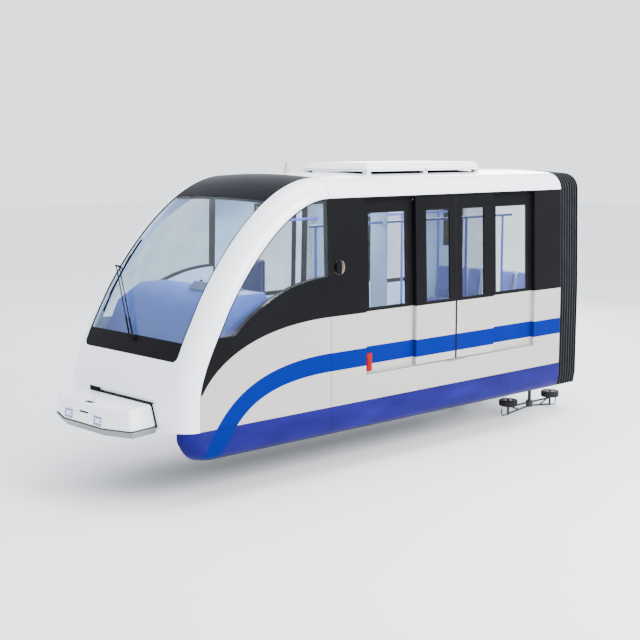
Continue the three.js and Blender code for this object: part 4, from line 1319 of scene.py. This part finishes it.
# Coupler housing
BUFFER_X = NOSE_X - FIT
COUPLER = {
    "foot": {"z": 202, "plan": [(BUFFER_X, 664), (-4712, 728), (-4836, 372)]},
    "base": {"z": 276, "plan": [(BUFFER_X, 703), (-4745, 770), (-4876, 395)]},
    "low": {"z": 275, "plan": [(BUFFER_X, 690), (-4740, 745), (-4868, 390)]},
    "top": {"z": 514, "plan": [(BUFFER_X, 600), (-4735, 735), (-4840, 380)]},
    # Painted shade of the gaps: a dark band at the housing's foot, and the width of a dark edge where it
    # meets the nose
    "lip": {"proud": 4, "z": (274, 282)},
    "gap_shade": 9,
    "rounding": 30,
}
# Slots in the housing's face and top; what is cut out and what lines it, by heights over the slot's floor
SLOT = {"depth": 14, "face_z": (398, 420), "top_x": (-4812, -4732)}
SLOT_CUT = {"half": 90, "face": (34, 0), "top": (0, 24)}
SLOT_LINER = {"half": 88, "face": (6, -2), "top": (-2, 5)}
LAMP = {"y": (205, 375), "z": (300, 410), "back": (5, -2), "square": (8, 4), "cells": (4, 3), "gap": 5}


def both_sides(plan):
    return plan + [(x, -y) for x, y in reversed(plan)]


def box_face_x(z):
    low, top = COUPLER["low"], COUPLER["top"]
    rise = (z - low["z"]) / (top["z"] - low["z"])
    return low["plan"][2][0] + (top["plan"][2][0] - low["plan"][2][0]) * rise


def coupler_plate(palette):
    # The base plate's grey is painted shade under the housing
    shape = Shape()
    levels = [COUPLER[level] for level in ("foot", "base")]
    add_loft(shape, [(level["z"], both_sides(level["plan"])) for level in levels])
    make("coupler_base_plate", shape, [palette.plate], slot="body_white", bevel=6)


def coupler_gap_shade(palette):
    """Painted shade: a dark band over the base plate, and a dark edge where the housing meets the nose, for
    the shaded gaps there.
    """
    base, low, top, lip, wide = (COUPLER[part] for part in ("base", "low", "top", "lip", "gap_shade"))
    shape = Shape()
    plan = [(x, half + lip["proud"]) for x, half in low["plan"]]
    add_prism(shape, both_sides(plan), *lip["z"], along_z)
    low_half, top_half = low["plan"][0][1] + wide, top["plan"][0][1] + wide
    foot, crest = base["z"], top["z"] + wide
    edges = [(-low_half, foot), (low_half, foot), (top_half, crest), (-top_half, crest)]
    add_prism(shape, edges, BUFFER_X - wide, BUFFER_X, along_x)
    make("coupler_gap_shade", shape, [palette.rubber])


def slot_blocks(half, face, top):
    """Blocks in the two slots, each between two heights over its slot's floor."""
    back_x = box_face_x(SLOT["face_z"][0]) + SLOT["depth"]
    floor_z = COUPLER["top"]["z"] - SLOT["depth"]
    shape = Shape()
    add_box(shape, [back_x - height for height in face], (-half, half), SLOT["face_z"])
    add_box(shape, SLOT["top_x"], (-half, half), [floor_z + height for height in top])
    return shape


def coupler_housing(palette):
    """White housing, its edges well rounded, with two dark slots."""
    shape = Shape()
    levels = [COUPLER[level] for level in ("low", "top")]
    add_loft(shape, [(level["z"], both_sides(level["plan"])) for level in levels])
    box = mesh_object("coupler_housing_looks", shape, [palette.white])
    round_edges(box, COUPLER["rounding"], 5, 25)
    settle(box)
    carve(box, slot_blocks(**SLOT_CUT))
    add_modifier(box, "even_shading", "WEIGHTED_NORMAL")
    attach(box, "car_body")
    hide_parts("coupler_housing")
    make("coupler_slot_liners", slot_blocks(**SLOT_LINER), [palette.rubber])


def headlamps(palette):
    """Dark glazed square with a ring of small lamp squares in it."""
    (y0, y1), (z0, z1), gap = LAMP["y"], LAMP["z"], LAMP["gap"]
    shape = Shape()

    def on_face(y, z, off):
        return (box_face_x(z) - off, -y, z)

    def pad(y, z, depths, paint):
        add_sheet(shape, y, z, depths, on_face, paint=only(paint))

    pad((y0, y1), (z0, z1), LAMP["back"], 0)
    columns, rows = LAMP["cells"]
    wide, high = (y1 - y0) / columns, (z1 - z0) / rows
    for i in range(columns):
        for j in range(rows):
            if 0 < i < columns - 1 and 0 < j < rows - 1:
                continue
            y, z = y0 + i * wide, z0 + j * high
            pad((y + gap, y + wide - gap), (z + gap, z + high - gap), LAMP["square"], 1)
    materials = [palette.lamp_back, palette.lens]
    make_pair("headlamp_looks", shape, materials, stands_for=["headlamp_*"], slot="lamp_glass", bevel=1.5)


# Wiper; held, low and high are numbers of points along the blade, counted from its foot
WIPER = {
    "hub": {"z": 1172, "y": -20, "proud": (0.4, 34), "radius": 34},
    "joint": {"z": 1858, "y": 736, "proud": 112, "radius": 12, "half": 44},
    "blade": {"z": (1390, 2206), "y": 740, "proud": 20, "radius": 11, "steps": 12, "held": (6, 8)},
    "arm": {"sides": (-32, 32), "radius": 6.5, "stub_radius": 12, "stub_share": 0.27},
    "carrier_radius": 9,
    "bow": {"radius": 6, "off": 16, "low": (2, 3), "high": (9, 10)},
}


def on_screen(z, y, off):
    return Vector(Station(length_at_height(z)).on_flat(y, -off))


def wiper(palette):
    """Two arms, stout at their foot, from a hub to a joint standing off the glass, and a jointed blade."""
    hub, joint, blade, arm, bow = (WIPER[part] for part in ("hub", "joint", "blade", "arm", "bow"))
    foot, head = (on_screen(hub["z"], hub["y"], off) for off in hub["proud"])
    elbow = on_screen(joint["z"], joint["y"], joint["proud"])
    stub = head.lerp(elbow, arm["stub_share"])
    edge = [on_screen(z, blade["y"], blade["proud"]) for z in steps(*blade["z"], blade["steps"])]
    shape = Shape()
    add_tube(shape, [foot, head], hub["radius"], 20)
    for side in arm["sides"]:
        aside = Vector((0, side, 0))
        add_tube(shape, [head + aside, elbow + aside], arm["radius"], 10)
        add_tube(shape, [head + aside, stub + aside], arm["stub_radius"], 12)
    cross = Vector((0, joint["half"], 0))
    add_tube(shape, [elbow - cross, elbow + cross], joint["radius"], 12)
    centre = sum((edge[k] for k in blade["held"]), Vector()) / 2
    add_tube(shape, [elbow, centre], WIPER["carrier_radius"], 10)
    add_tube(shape, edge, blade["radius"], 10)
    away = (elbow - centre).normalized() * bow["off"]
    (low, after_low), (before_high, high) = ([edge[k] for k in bow[end]] for end in ("low", "high"))
    add_tube(shape, [low, after_low + away, before_high + away, high], bow["radius"], 8)
    make("wiper_looks", shape, [palette.rubber], stands_for=["wiper"], slot="wiper_black")


# Small outside parts
EMERGENCY_BOX = {"x": (-1516, -1424), "z": (594, 816), "depths": (POCKET_DEPTH - 22, POCKET_DEPTH)}
EMERGENCY_FLAP = {"x": (-1502, -1438), "z": (618, 756), "depths": (POCKET_DEPTH - 27, POCKET_DEPTH - 20)}


def emergency_box(palette):
    """Red box with a flap, on the sunk panel ahead of the front pocket window."""
    boxes = (("emergency_box", EMERGENCY_BOX, 8), ("emergency_box_flap", EMERGENCY_FLAP, 3))
    for name, box, bevel in boxes:
        shape = Shape()
        add_sheet(shape, box["x"], box["z"], box["depths"])
        make_pair(name, shape, [palette.red], bevel=bevel)


# Round recess with a grip across it. The dish in it is a closed loop of rings, each with reach and depth
HANDLE = {"x": -2006, "z": 1906, "radius": 88, "cut": (-20, 56)}
HANDLE_GRIP = {"reach": 87, "half": 42, "depths": (2, 53)}
HANDLE_RINGS = ((87.5, 1), (84, 5), (76, 50), (42, 54), (42, 55), (87.5, 55))
HANDLE_FRONT_RINGS = 3
HANDLE_SIDES = 48


def handle_rim(reach, depth, half=math.inf):
    """Circle on the body side round the middle of the grip recess, cut off at half a width."""
    rim = []
    for angle in full_turn(HANDLE_SIDES):
        aside = max(-half, min(half, reach * math.cos(angle)))
        rim.append(on_side(HANDLE["x"] + aside, HANDLE["z"] + reach * math.sin(angle), depth))
    return rim


def handle_cutter():
    shape = Shape()
    add_rings(shape, [handle_rim(HANDLE["radius"], depth) for depth in HANDLE["cut"]])
    return shape


def handle_cup(palette):
    """Dish beside the cab window, pale but for its back, and painted dark behind the upright black grip as
    the grip's shade.
    """

    def paint_of(i, k):
        # Painted shade: the dish is dark where the grip stands in front of it
        aside = HANDLE["radius"] * abs(math.cos(2 * math.pi * (k + 0.5) / HANDLE_SIDES))
        return 1 if i >= HANDLE_FRONT_RINGS or aside < HANDLE_GRIP["half"] else 0

    dish = Shape()
    add_rings(dish, [handle_rim(reach, depth) for reach, depth in HANDLE_RINGS], paint_of, closed=True)
    make_pair("handle_dish", dish, [palette.dish, palette.rubber])
    grip = Shape()
    reach, half = HANDLE_GRIP["reach"], HANDLE_GRIP["half"]
    add_rings(grip, [handle_rim(reach, depth, half) for depth in HANDLE_GRIP["depths"]])
    make_pair("handle_grip", grip, [palette.black], bevel=4)


TRIM = {"reach": 34, "width": 42, "depths": (WALL - 1, WALL + 9)}
CAB_TRIM = {
    "x": (CAB_POST_X - 8, SEAM_X),
    "post_top_z": CANTRAIL_Z - 20,
    "post_depths": (CAB_WALL - 1, CAB_WALL + 10),
    "foot": (-26, 6),
    "foot_depths": (CAB_WALL - 1, CAB_WALL + 8),
}


def window_trims(palette):
    """Black frames round the windows on the inside of the walls."""
    shape = Shape()
    reach = TRIM["reach"]
    for x0, x1 in WINDOWS_X.values():
        heights = (WINDOW_Z[0] - reach, WINDOW_Z[1] + reach)
        add_frame(shape, (x0 - reach, x1 + reach), heights, TRIM["width"], TRIM["depths"])
    make_pair("window_trims", shape, [palette.rubber], bevel=3)
    cab = Shape()
    xs = CAB_TRIM["x"]
    zs = steps(band_height("glass_foot", xs[0]), CAB_TRIM["post_top_z"], 4)
    add_sheet(cab, xs, zs, CAB_TRIM["post_depths"])
    stations = steps(BAND["glass_foot"]["start"][0], xs[1], 40)

    def on_foot(x, rise, depth):
        return on_side(x, band_height("glass_foot", x) + rise, depth)

    add_sheet(cab, stations, CAB_TRIM["foot"], CAB_TRIM["foot_depths"], on_foot)
    make_pair("cab_window_trims", cab, [palette.rubber], bevel=2)


SILL_PLATE = {"x": (-86, 274), "z": (546, 566), "depths": (-6, 0.5)}
LEDGE = {"z": (FLOOR_Z - 8, FLOOR_Z - 2), "depths": (-2.5, 0.5)}


def sill_plates(palette):
    """Bright step plate at the foot of the doorway, and the ledge line under the pocket."""
    plate = Shape()
    add_sheet(plate, SILL_PLATE["x"], SILL_PLATE["z"], SILL_PLATE["depths"])
    make_pair("sill_plate", plate, [palette.plate], bevel=2)
    ledge = Shape()
    add_sheet(ledge, POCKET_X, LEDGE["z"], LEDGE["depths"])
    make_pair("pocket_ledge", ledge, [palette.rubber])


SEAM_DEPTHS = (-0.4, 6)
SEAM_SPAN_X = (SEAM_X - 2, SEAM_X + 3)
SEAM_HALF = 3


def body_seams(palette):
    """Dark joint lines: cab to saloon, wall to roof, body to skirt, and across the roof; the wall-to-roof
    line is also painted shadow under the roof's edge.
    """
    lines = (
        (SEAM_SPAN_X, (SKIRT_TOP_Z, WAIST_Z, CANTRAIL_Z)),
        # Joint of wall and roof, darkened as painted shadow under the roof's edge
        (steps(SEAM_X, BODY_END_X, 4), (CANTRAIL_Z - SEAM_HALF, CANTRAIL_Z + SEAM_HALF)),
        (steps(CORNER_AXIS[0], BODY_END_X, 4), (SKIRT_TOP_Z - SEAM_HALF, SKIRT_TOP_Z + SEAM_HALF)),
    )
    shape = Shape()
    for xs, zs in lines:
        add_sheet(shape, xs, zs, SEAM_DEPTHS)
    add_sheet(shape, SEAM_SPAN_X, SKIRT_CURVE, SEAM_DEPTHS, lambda x, yz, depth: (x, depth - yz[0], yz[1]))
    make_pair("body_seams", shape, [palette.rubber])
    hoop = Shape()
    add_sheet(hoop, SEAM_SPAN_X, roof_section(0), SEAM_DEPTHS, lambda x, yz, depth: (x, yz[0], yz[1] - depth))
    make("roof_seam", hoop, [palette.rubber])


PIN_AERIAL = {"x": -4714, "z": (512, 566), "radius": 5}


def pin_aerial(palette):
    shape = Shape()
    add_tube(shape, [(PIN_AERIAL["x"], 0, z) for z in PIN_AERIAL["z"]], PIN_AERIAL["radius"])
    make("pin_aerial", shape, [palette.metal])


# Inside the cab
DESK = (
    (-3960, 1060), (-3846, 1256), (-3736, 1484), (-3398, 1676), (-3016, 1676), (-2966, 1590), (-3240, 1420),
    (-3280, FLOOR_Z + FIT), (-3800, FLOOR_Z + FIT),
)
DESK_HALF = 960
CONSOLE = {"x": (-3330, -3080), "y": (-640, 60), "z": (1674, 1700)}
DISPLAY = {"xz": ((-3420, 1672), (-3330, 1672), (-3310, 1760), (-3350, 1764)), "y": (-560, -60)}
LEVER = {"x": -3190, "y": (-560, -20), "z": (1698, 1746), "lean": 12, "radius": 7}
LEVER_KNOB = {"back": 14, "z": 1750, "half": 20, "radius": 11}


def cab_desk(palette):
    shape = Shape()
    add_prism(shape, DESK, -DESK_HALF, DESK_HALF, along_y)
    make("cab_desk_looks", shape, [palette.desk], stands_for=["cab_desk"], slot="desk_blue", bevel=26)


def cab_console(palette):
    """Console and display hood on the desk."""
    console = Shape()
    add_box(console, CONSOLE["x"], CONSOLE["y"], CONSOLE["z"])
    add_prism(console, DISPLAY["xz"], *DISPLAY["y"], along_y)
    make("cab_console", console, [palette.console], bevel=8)


def cab_levers(palette):
    """Two levers with a knob across their top."""
    x, (low, high) = LEVER["x"], LEVER["z"]
    back, half, knob_z = (LEVER_KNOB[key] for key in ("back", "half", "z"))
    levers = Shape()
    for y in LEVER["y"]:
        add_tube(levers, [(x, y, low), (x - LEVER["lean"], y, high)], LEVER["radius"])
        knob = [(x - back, y + side * half, knob_z) for side in (-1, 1)]
        add_tube(levers, knob, LEVER_KNOB["radius"])
    make("cab_levers", levers, [palette.rubber])


# Driver's seat: each pad starts as a rounded box, and its faces swell by up to the length given
SEAT_PADS = {
    "driver_seat_cushion": {"x": (-3046, -2654), "y": (-532, -68), "z": (1320, 1380), "swell": 20},
    "driver_seat_back": {"x": (-2704, -2620), "y": (-524, -76), "z": (1410, 1998), "swell": 15},
    "driver_headrest": {"x": (-2676, -2608), "y": (-424, -176), "z": (2020, 2198), "swell": 8},
}
STUFFING = {"corner": 24, "voxel": 8, "pressure": 4.0, "frames": 20}
PIPING = {"radius": 4.5, "drawn_in": 0.42}
SEAT_STAND = {"x": -2830, "y": -300, "radius": 50, "z": (CAB_FLOOR_Z + FIT, 1312)}
SEAT_PAN = {"x": (-3024, -2676), "y": (-510, -90), "z": (1304, 1324)}
BACK_BARS = {
    "y": (-400, -200),
    "radius": 11,
    "xz": ((-2760, 1315), (-2680, 1315), (-2632, 1340), (-2616, 1400), (-2616, 1520)),
}
HEADREST_RODS = {"x": -2640, "y": (-380, -220), "radius": 8, "z": (1985, 2035)}


def stuff(obj, swell):
    """Blows a pad up as cloth under pressure, with every point held near where it was."""
    starts = [vertex.co.copy() for vertex in obj.data.vertices]
    cloth = add_modifier(obj, "stuffing", "CLOTH")
    cloth.settings.use_pressure = True
    cloth.settings.uniform_pressure_force = STUFFING["pressure"]
    cloth.settings.effector_weights.gravity = 0
    cloth.point_cache.frame_start = 1
    cloth.point_cache.frame_end = STUFFING["frames"]
    for number in range(1, STUFFING["frames"] + 1):
        bpy.context.scene.frame_set(number)
    settle(obj)
    bpy.context.scene.frame_set(1)
    limit = swell * MM
    for vertex, start in zip(obj.data.vertices, starts):
        shift = vertex.co - start
        vertex.co = start + shift * limit / (limit + shift.length)


def soften(obj):
    add_modifier(obj, "soft_form", "SUBSURF", levels=1, render_levels=1)


def pad_outline(spans, corner, drawn_in):
    """Loop round the middle of a pad, across its thinnest side."""
    sizes = [high - low - 2 * drawn_in for low, high in spans]
    thin = sizes.index(min(sizes))
    first, second = (axis for axis in range(3) if axis != thin)
    loop = []
    for quarter, (a_side, b_side) in enumerate(((1, 1), (-1, 1), (-1, -1), (1, -1))):
        for turn in steps(0, 1, 5):
            angle = math.pi / 2 * (quarter + turn)
            point = [sum(span) / 2 for span in spans]
            point[first] += a_side * (sizes[first] / 2 - corner) + corner * math.cos(angle)
            point[second] += b_side * (sizes[second] / 2 - corner) + corner * math.sin(angle)
            loop.append(tuple(point))
    return loop + [loop[0]]


def seat_pad(name, pad, palette):
    """One stuffed pad: a box of small even faces, blown up and softened."""
    shape = Shape()
    add_box(shape, pad["x"], pad["y"], pad["z"])
    obj = mesh_object(name, shape, [palette.seat])
    round_edges(obj, STUFFING["corner"], 4)
    voxel = STUFFING["voxel"] * MM
    add_modifier(obj, "even_mesh", "REMESH", mode="VOXEL", voxel_size=voxel, use_smooth_shade=True)
    settle(obj)
    stuff(obj, pad["swell"])
    soften(obj)
    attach(obj, "car_body")
    return obj


def seat_stand(palette):
    """Post, pan, the bars that carry the back, and the headrest's rods."""
    shape = Shape()
    stand_x, stand_y = SEAT_STAND["x"], SEAT_STAND["y"]
    add_tube(shape, [(stand_x, stand_y, z) for z in SEAT_STAND["z"]], SEAT_STAND["radius"], 24)
    add_box(shape, SEAT_PAN["x"], SEAT_PAN["y"], SEAT_PAN["z"])
    for y in BACK_BARS["y"]:
        add_tube(shape, [(x, y, z) for x, z in curve_through(BACK_BARS["xz"], 4)], BACK_BARS["radius"], 10)
    for y in HEADREST_RODS["y"]:
        rod = [(HEADREST_RODS["x"], y, z) for z in HEADREST_RODS["z"]]
        add_tube(shape, rod, HEADREST_RODS["radius"], 10)
    make("driver_seat_stand", shape, [palette.steel])


def driver_seat(palette):
    """Seat cushion, back and headrest as stuffed pads with a piped seam, on a post."""
    piping = Shape()
    for name, pad in SEAT_PADS.items():
        seat_pad(name, pad, palette)
        spans = (pad["x"], pad["y"], pad["z"])
        outline = pad_outline(spans, STUFFING["corner"], PIPING["drawn_in"] * pad["swell"])
        add_tube(piping, outline, PIPING["radius"], 8)
    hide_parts("driver_seat")
    make("driver_seat_piping", piping, [palette.rubber])
    seat_stand(palette)


# Benches: pale shells by their outline in section, and pads by their middle and the half from there up
BENCH_FOOT_Z = FLOOR_Z + FIT
WALL_SEAT_Y = WAIST_HALF - WALL - 0.4
WALL_SEAT = (
    (WALL_SEAT_Y, BENCH_FOOT_Z), (WALL_SEAT_Y, 1316), (WALL_SEAT_Y - 24, 1316), (WALL_SEAT_Y - 62, 996),
    (664, 1000), (652, 956), (760, 926), (780, BENCH_FOOT_Z),
)
WALL_SEAT_X = (-2100, -760)
WALL_PLACES = 3
WALL_GAP = 8
WALL_PADS = {"seat": ((814, 1017), (138, -2)), "back": ((1002, 1176), (17, 134))}
CROSS_SEAT = (
    (1764, 980), (1790, 936), (1900, 926), (1920, BENCH_FOOT_Z), (2200, BENCH_FOOT_Z),
    (2250, 1000), (2262, 1520), (2232, 1520), (2166, 1000), (1790, 1000),
)
CROSS_PADS = {"seat": ((1964, 1015), (166, 0)), "back": ((2178, 1272), (31, 234))}
CROSS_PLACES_Y = ((190, 436), (464, 736), (764, 1052))
PAD = {"thickness": 44, "crown": 12, "margin": 14, "steps": 8, "squareness": 6, "edge": 0.15, "draw": 0.35}


def add_pad(shape, middle, half_along, half_up):
    """Crowned pad whose edges are drawn in. The two halves are vectors from its middle to its edges."""
    middle, half_along, half_up = Vector(middle), Vector(half_along), Vector(half_up)
    out = half_along.cross(half_up).normalized()

    def place(s, t, side):
        power = PAD["squareness"]
        swell = ((1 - s**power) * (1 - t**power)) ** 0.5
        drawn_in = max(PAD["edge"], swell) ** PAD["draw"]
        level = side * (PAD["thickness"] / 2 - PAD["crown"] * (1 - swell)) * drawn_in
        return tuple(middle + s * half_along + t * half_up + level * out)

    shares = steps(-1, 1, PAD["steps"])
    add_sheet(shape, shares, shares, (1, -1), place)


def bench_pair(place, shells, pads, palette):
    """A row of seats on each side: its shells, and its blue pads softened once more."""
    name = f"bench_{place}"
    settings = {"slot": "seat_blue", "bevel": 16}
    make_pair(f"{name}_looks", shells, [palette.shell], stands_for=[f"{name}_*"], **settings)
    for obj in make_pair(f"{name}_pads", pads, [palette.bench], slot="seat_blue", sharp=60):
        soften(obj)


def front_benches(palette):
    """Benches along the wall, one seat beside the next."""
    outline = [(-y, z) for y, z in WALL_SEAT]
    shells = Shape()
    pads = Shape()
    width = (WALL_SEAT_X[1] - WALL_SEAT_X[0]) / WALL_PLACES
    half = width / 2 - WALL_GAP - PAD["margin"]
    for k in range(WALL_PLACES):
        start = WALL_SEAT_X[0] + k * width
        add_prism(shells, outline, start + WALL_GAP, start + width - WALL_GAP, along_x)
        for (y, z), (up_y, up_z) in WALL_PADS.values():
            add_pad(pads, (start + width / 2, -y, z), (half, 0, 0), (0, -up_y, up_z))
    bench_pair("front", shells, pads, palette)


def rear_benches(palette):
    """Seats across the rear end."""
    shells = Shape()
    pads = Shape()
    for inner, outer in CROSS_PLACES_Y:
        add_prism(shells, CROSS_SEAT, -outer, -inner, along_y)
        half = (outer - inner) / 2 - PAD["margin"]
        for (x, z), (up_x, up_z) in CROSS_PADS.values():
            add_pad(pads, (x, -(inner + outer) / 2, z), (0, half, 0), (up_x, 0, up_z))
    bench_pair("rear", shells, pads, palette)


# Panels beside the doorways, dark panes over the half-height end wall, and the floor's cover
PARTITION = {"x": (-758, -740), "y": (-700, -410), "z": (582, 2500)}
END_SCREEN = {"x": (2296, 2305), "y": (-1024, -634), "z": (1812, 2600)}
SHEET_HALF = WAIST_HALF - WALL - 4
SHEETS = (((-2290, BODY_END_X - 54), FLOOR_Z), ((-3240, -2310), CAB_FLOOR_Z))


def panels(palette):
    """Pale upright panels beside the doorways, and dark panes on the end wall beside the passage."""
    pieces = (("partitions", PARTITION, palette.partition, 7), ("end_screens", END_SCREEN, palette.black, 4))
    for name, panel, material, bevel in pieces:
        shape = Shape()
        add_box(shape, panel["x"], panel["y"], panel["z"])
        make_pair(name, shape, [material], bevel=bevel)


def floor_sheets(palette):
    shape = Shape()
    for x, z in SHEETS:
        add_box(shape, x, (-SHEET_HALF, SHEET_HALF), (z, z + 3))
    make("floor_sheets", shape, [palette.floor], slot="floor_metal")


def dress_nodes(frame, palette):
    """Gives the CAD nodes that keep their own mesh a finish and soft edges."""
    plain = {
        "underframe": (palette.under, 3),
        "spine": (palette.under, 4),
        "end_wall": (palette.lining, 2),
        "gangway_ring": (palette.rubber, 2),
        "gangway_floor": (palette.floor, 2),
        "bogie_front": (palette.steel, 3),
        "bogie_rear": (palette.steel, 3),
        "axle_front": (palette.steel, 2),
        "axle_rear": (palette.steel, 2),
        "grab_rail_left": (palette.rail, 0),
        "grab_rail_right": (palette.rail, 0),
    }
    for node, (material, bevel) in plain.items():
        obj = frame["nodes"][node]
        obj.data.materials.clear()
        obj.data.materials.append(material)
        if bevel:
            round_edges(obj, bevel, 2, 30)


# Wheels
ENDS = {"front": -AXLE_X, "rear": AXLE_X}
TYRE = {"radius": 245, "rim": 150.5, "y": (140, 320), "z": 245}
TREAD = {"shoulder": 22, "groove_depth": 9, "groove_half": 5, "groove_flare": 2, "places": (0.3, 0.5, 0.7)}
SIDEWALL = {"bead": 14, "step": 20, "edge": (8, 7)}
GUIDE = {"reach": 504, "y": 485, "front_z": (-98, -10), "rear_z": (-442, -354)}
# Half section of a guide wheel from its bore to its rim, as (radius, inset from its flat side)
GUIDE_SIDE = ((21, 6), (60, 6), (76, 22), (92, 6), (125, 0), (135, 10))
GUIDE_RUBBER = range(3, 8)


def tyre_section():
    """Half-open tyre section with rounded shoulders and three tread grooves, as (radius, along)."""
    radius, rim, (low, high) = TYRE["radius"], TYRE["rim"], TYRE["y"]
    shoulder, step = TREAD["shoulder"], SIDEWALL["step"]
    under, edge = SIDEWALL["edge"]
    side = [(rim, SIDEWALL["bead"]), (rim + step, 0), (radius - shoulder - step, 0)]
    side += [(radius - under, edge), (radius, shoulder)]
    section = [(r, low + inset) for r, inset in side]
    depth, half, flare = (TREAD[f"groove_{key}"] for key in ("depth", "half", "flare"))
    for share in TREAD["places"]:
        middle = low + (high - low) * share
        section += [(radius, middle - half - flare), (radius - depth, middle - half)]
        section += [(radius - depth, middle + half), (radius, middle + half + flare)]
    return section + [(r, high - inset) for r, inset in reversed(side)]


def load_tyres(palette):
    section = [(r, -along) for r, along in tyre_section()]
    for end, x in ENDS.items():
        shape = Shape()
        add_lathe(shape, section, (x, 0, TYRE["z"]), along_y, 64)
        settings = {"stands_for": [f"load_tyre_{end}_*"], "slot": "tyre_rubber", "sharp": 50}
        make_pair(f"load_tyre_{end}_looks", shape, [palette.tyre], f"wheelset_{end}", **settings)


def guide_wheels(palette):
    """Solid tyre round a dished hub, on its pin."""
    materials = [palette.steel, palette.tyre]
    for end, x in ENDS.items():
        low, high = GUIDE[f"{end}_z"]
        section = [(r, low + inset) for r, inset in GUIDE_SIDE]
        section += [(r, high - inset) for r, inset in reversed(GUIDE_SIDE)]
        for place, shift in (("lead", -GUIDE["reach"]), ("trail", GUIDE["reach"])):
            shape = Shape()
            centre = (x + shift, -GUIDE["y"], 0)
            add_lathe(shape, section, centre, along_z, 56, lambda i, k: 1 if k in GUIDE_RUBBER else 0)
            name = f"guide_wheel_{end}_{place}"
            make_pair(f"{name}_looks", shape, materials, f"{name}_*", [f"{name}_*"], slot="tyre_rubber")


# Stage, light and camera
FLOOR = {"reach": 60000, "z": -583, "thickness": 20}
SKY = {"Color": (0.9, 0.94, 1.0, 1.0), "Strength": 2.2}
CAR_MIDDLE = (-0.8, 0.0, 1.2)
LAMPS = {
    "key_lamp": {"place": (1.0, -12.0, 7.0), "aim": CAR_MIDDLE, "size": (9.0, 5.0), "power": 3000},
    "top_lamp": {"place": (0.0, -2.0, 11.0), "aim": CAR_MIDDLE, "size": (8.0, 5.0), "power": 1000},
    "rim_lamp": {"place": (11.0, 8.0, 6.0), "aim": CAR_MIDDLE, "size": (6.0, 4.0), "power": 1000},
    "cab_lamp": {"place": (-2.6, 0.0, 2.5), "aim": (-2.7, 0.0, 1.0), "size": (0.9, 0.4), "power": 45},
    "saloon_lamp": {"place": (0.1, 0.0, 2.75), "aim": (0.1, 0.0, 0.6), "size": (3.8, 0.6), "power": 160},
}
CAMERA = {"place": (-12.185, -11.651, 3.332), "aim": (-1.45, -0.2, 1.13), "lens": 70.0}


def point_at(obj, place, aim):
    obj.location = place
    obj.rotation_euler = (Vector(aim) - Vector(place)).to_track_quat("-Z", "Y").to_euler()


def soft_light(name, lamp):
    data = bpy.data.lights.new(name, "AREA")
    data.shape = "RECTANGLE"
    data.size, data.size_y = lamp["size"]
    data.energy = lamp["power"]
    obj = link(name, data)
    point_at(obj, lamp["place"], lamp["aim"])


def studio():
    """White surroundings, soft lamps, and a pale floor under the lowest guard of the guide arms."""
    world = bpy.data.worlds.new("studio")
    bpy.context.scene.world = world
    world.use_nodes = True
    for socket, value in SKY.items():
        world.node_tree.nodes["Background"].inputs[socket].default_value = value
    for name, lamp in LAMPS.items():
        soft_light(name, lamp)
    shape = Shape()
    span = (-FLOOR["reach"], FLOOR["reach"])
    add_box(shape, span, span, (FLOOR["z"] - FLOOR["thickness"], FLOOR["z"]))
    material = finish("studio_floor", 0xF4F5F7, 0.8, vary=0.006, patch=0.3, gloss=0.1)
    mesh_object("studio_floor", shape, [material])


def camera():
    """Where the photo's lower view was taken from, with a longer lens aimed at the cab car."""
    data = bpy.data.cameras.new("camera")
    data.sensor_width = 36.0
    data.lens = CAMERA["lens"]
    data.clip_end = 500
    obj = link("camera", data)
    point_at(obj, CAMERA["place"], CAMERA["aim"])
    bpy.context.scene.camera = obj


OUTSIDE = (
    nose_shell, nose_slot_liner, windscreen, windscreen_seal, windscreen_cap,
    cab_sides, cab_windows, hoop_line, side_walls, door_pockets, saloon_windows, door_leaves, skirts,
    roof, roof_unit_lid, roof_unit_feet, roof_unit_shadow, aerial, bellows,
    coupler_plate, coupler_gap_shade, coupler_housing, headlamps, wiper,
    emergency_box, handle_cup, window_trims, sill_plates, body_seams, pin_aerial,
)
INSIDE = (
    cab_desk, cab_console, cab_levers, driver_seat, front_benches, rear_benches, panels, floor_sheets,
)


def main():
    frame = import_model()
    palette = Palette()
    for build in (*OUTSIDE, *INSIDE):
        build(palette)
    dress_nodes(frame, palette)
    load_tyres(palette)
    guide_wheels(palette)
    studio()
    camera()


main()
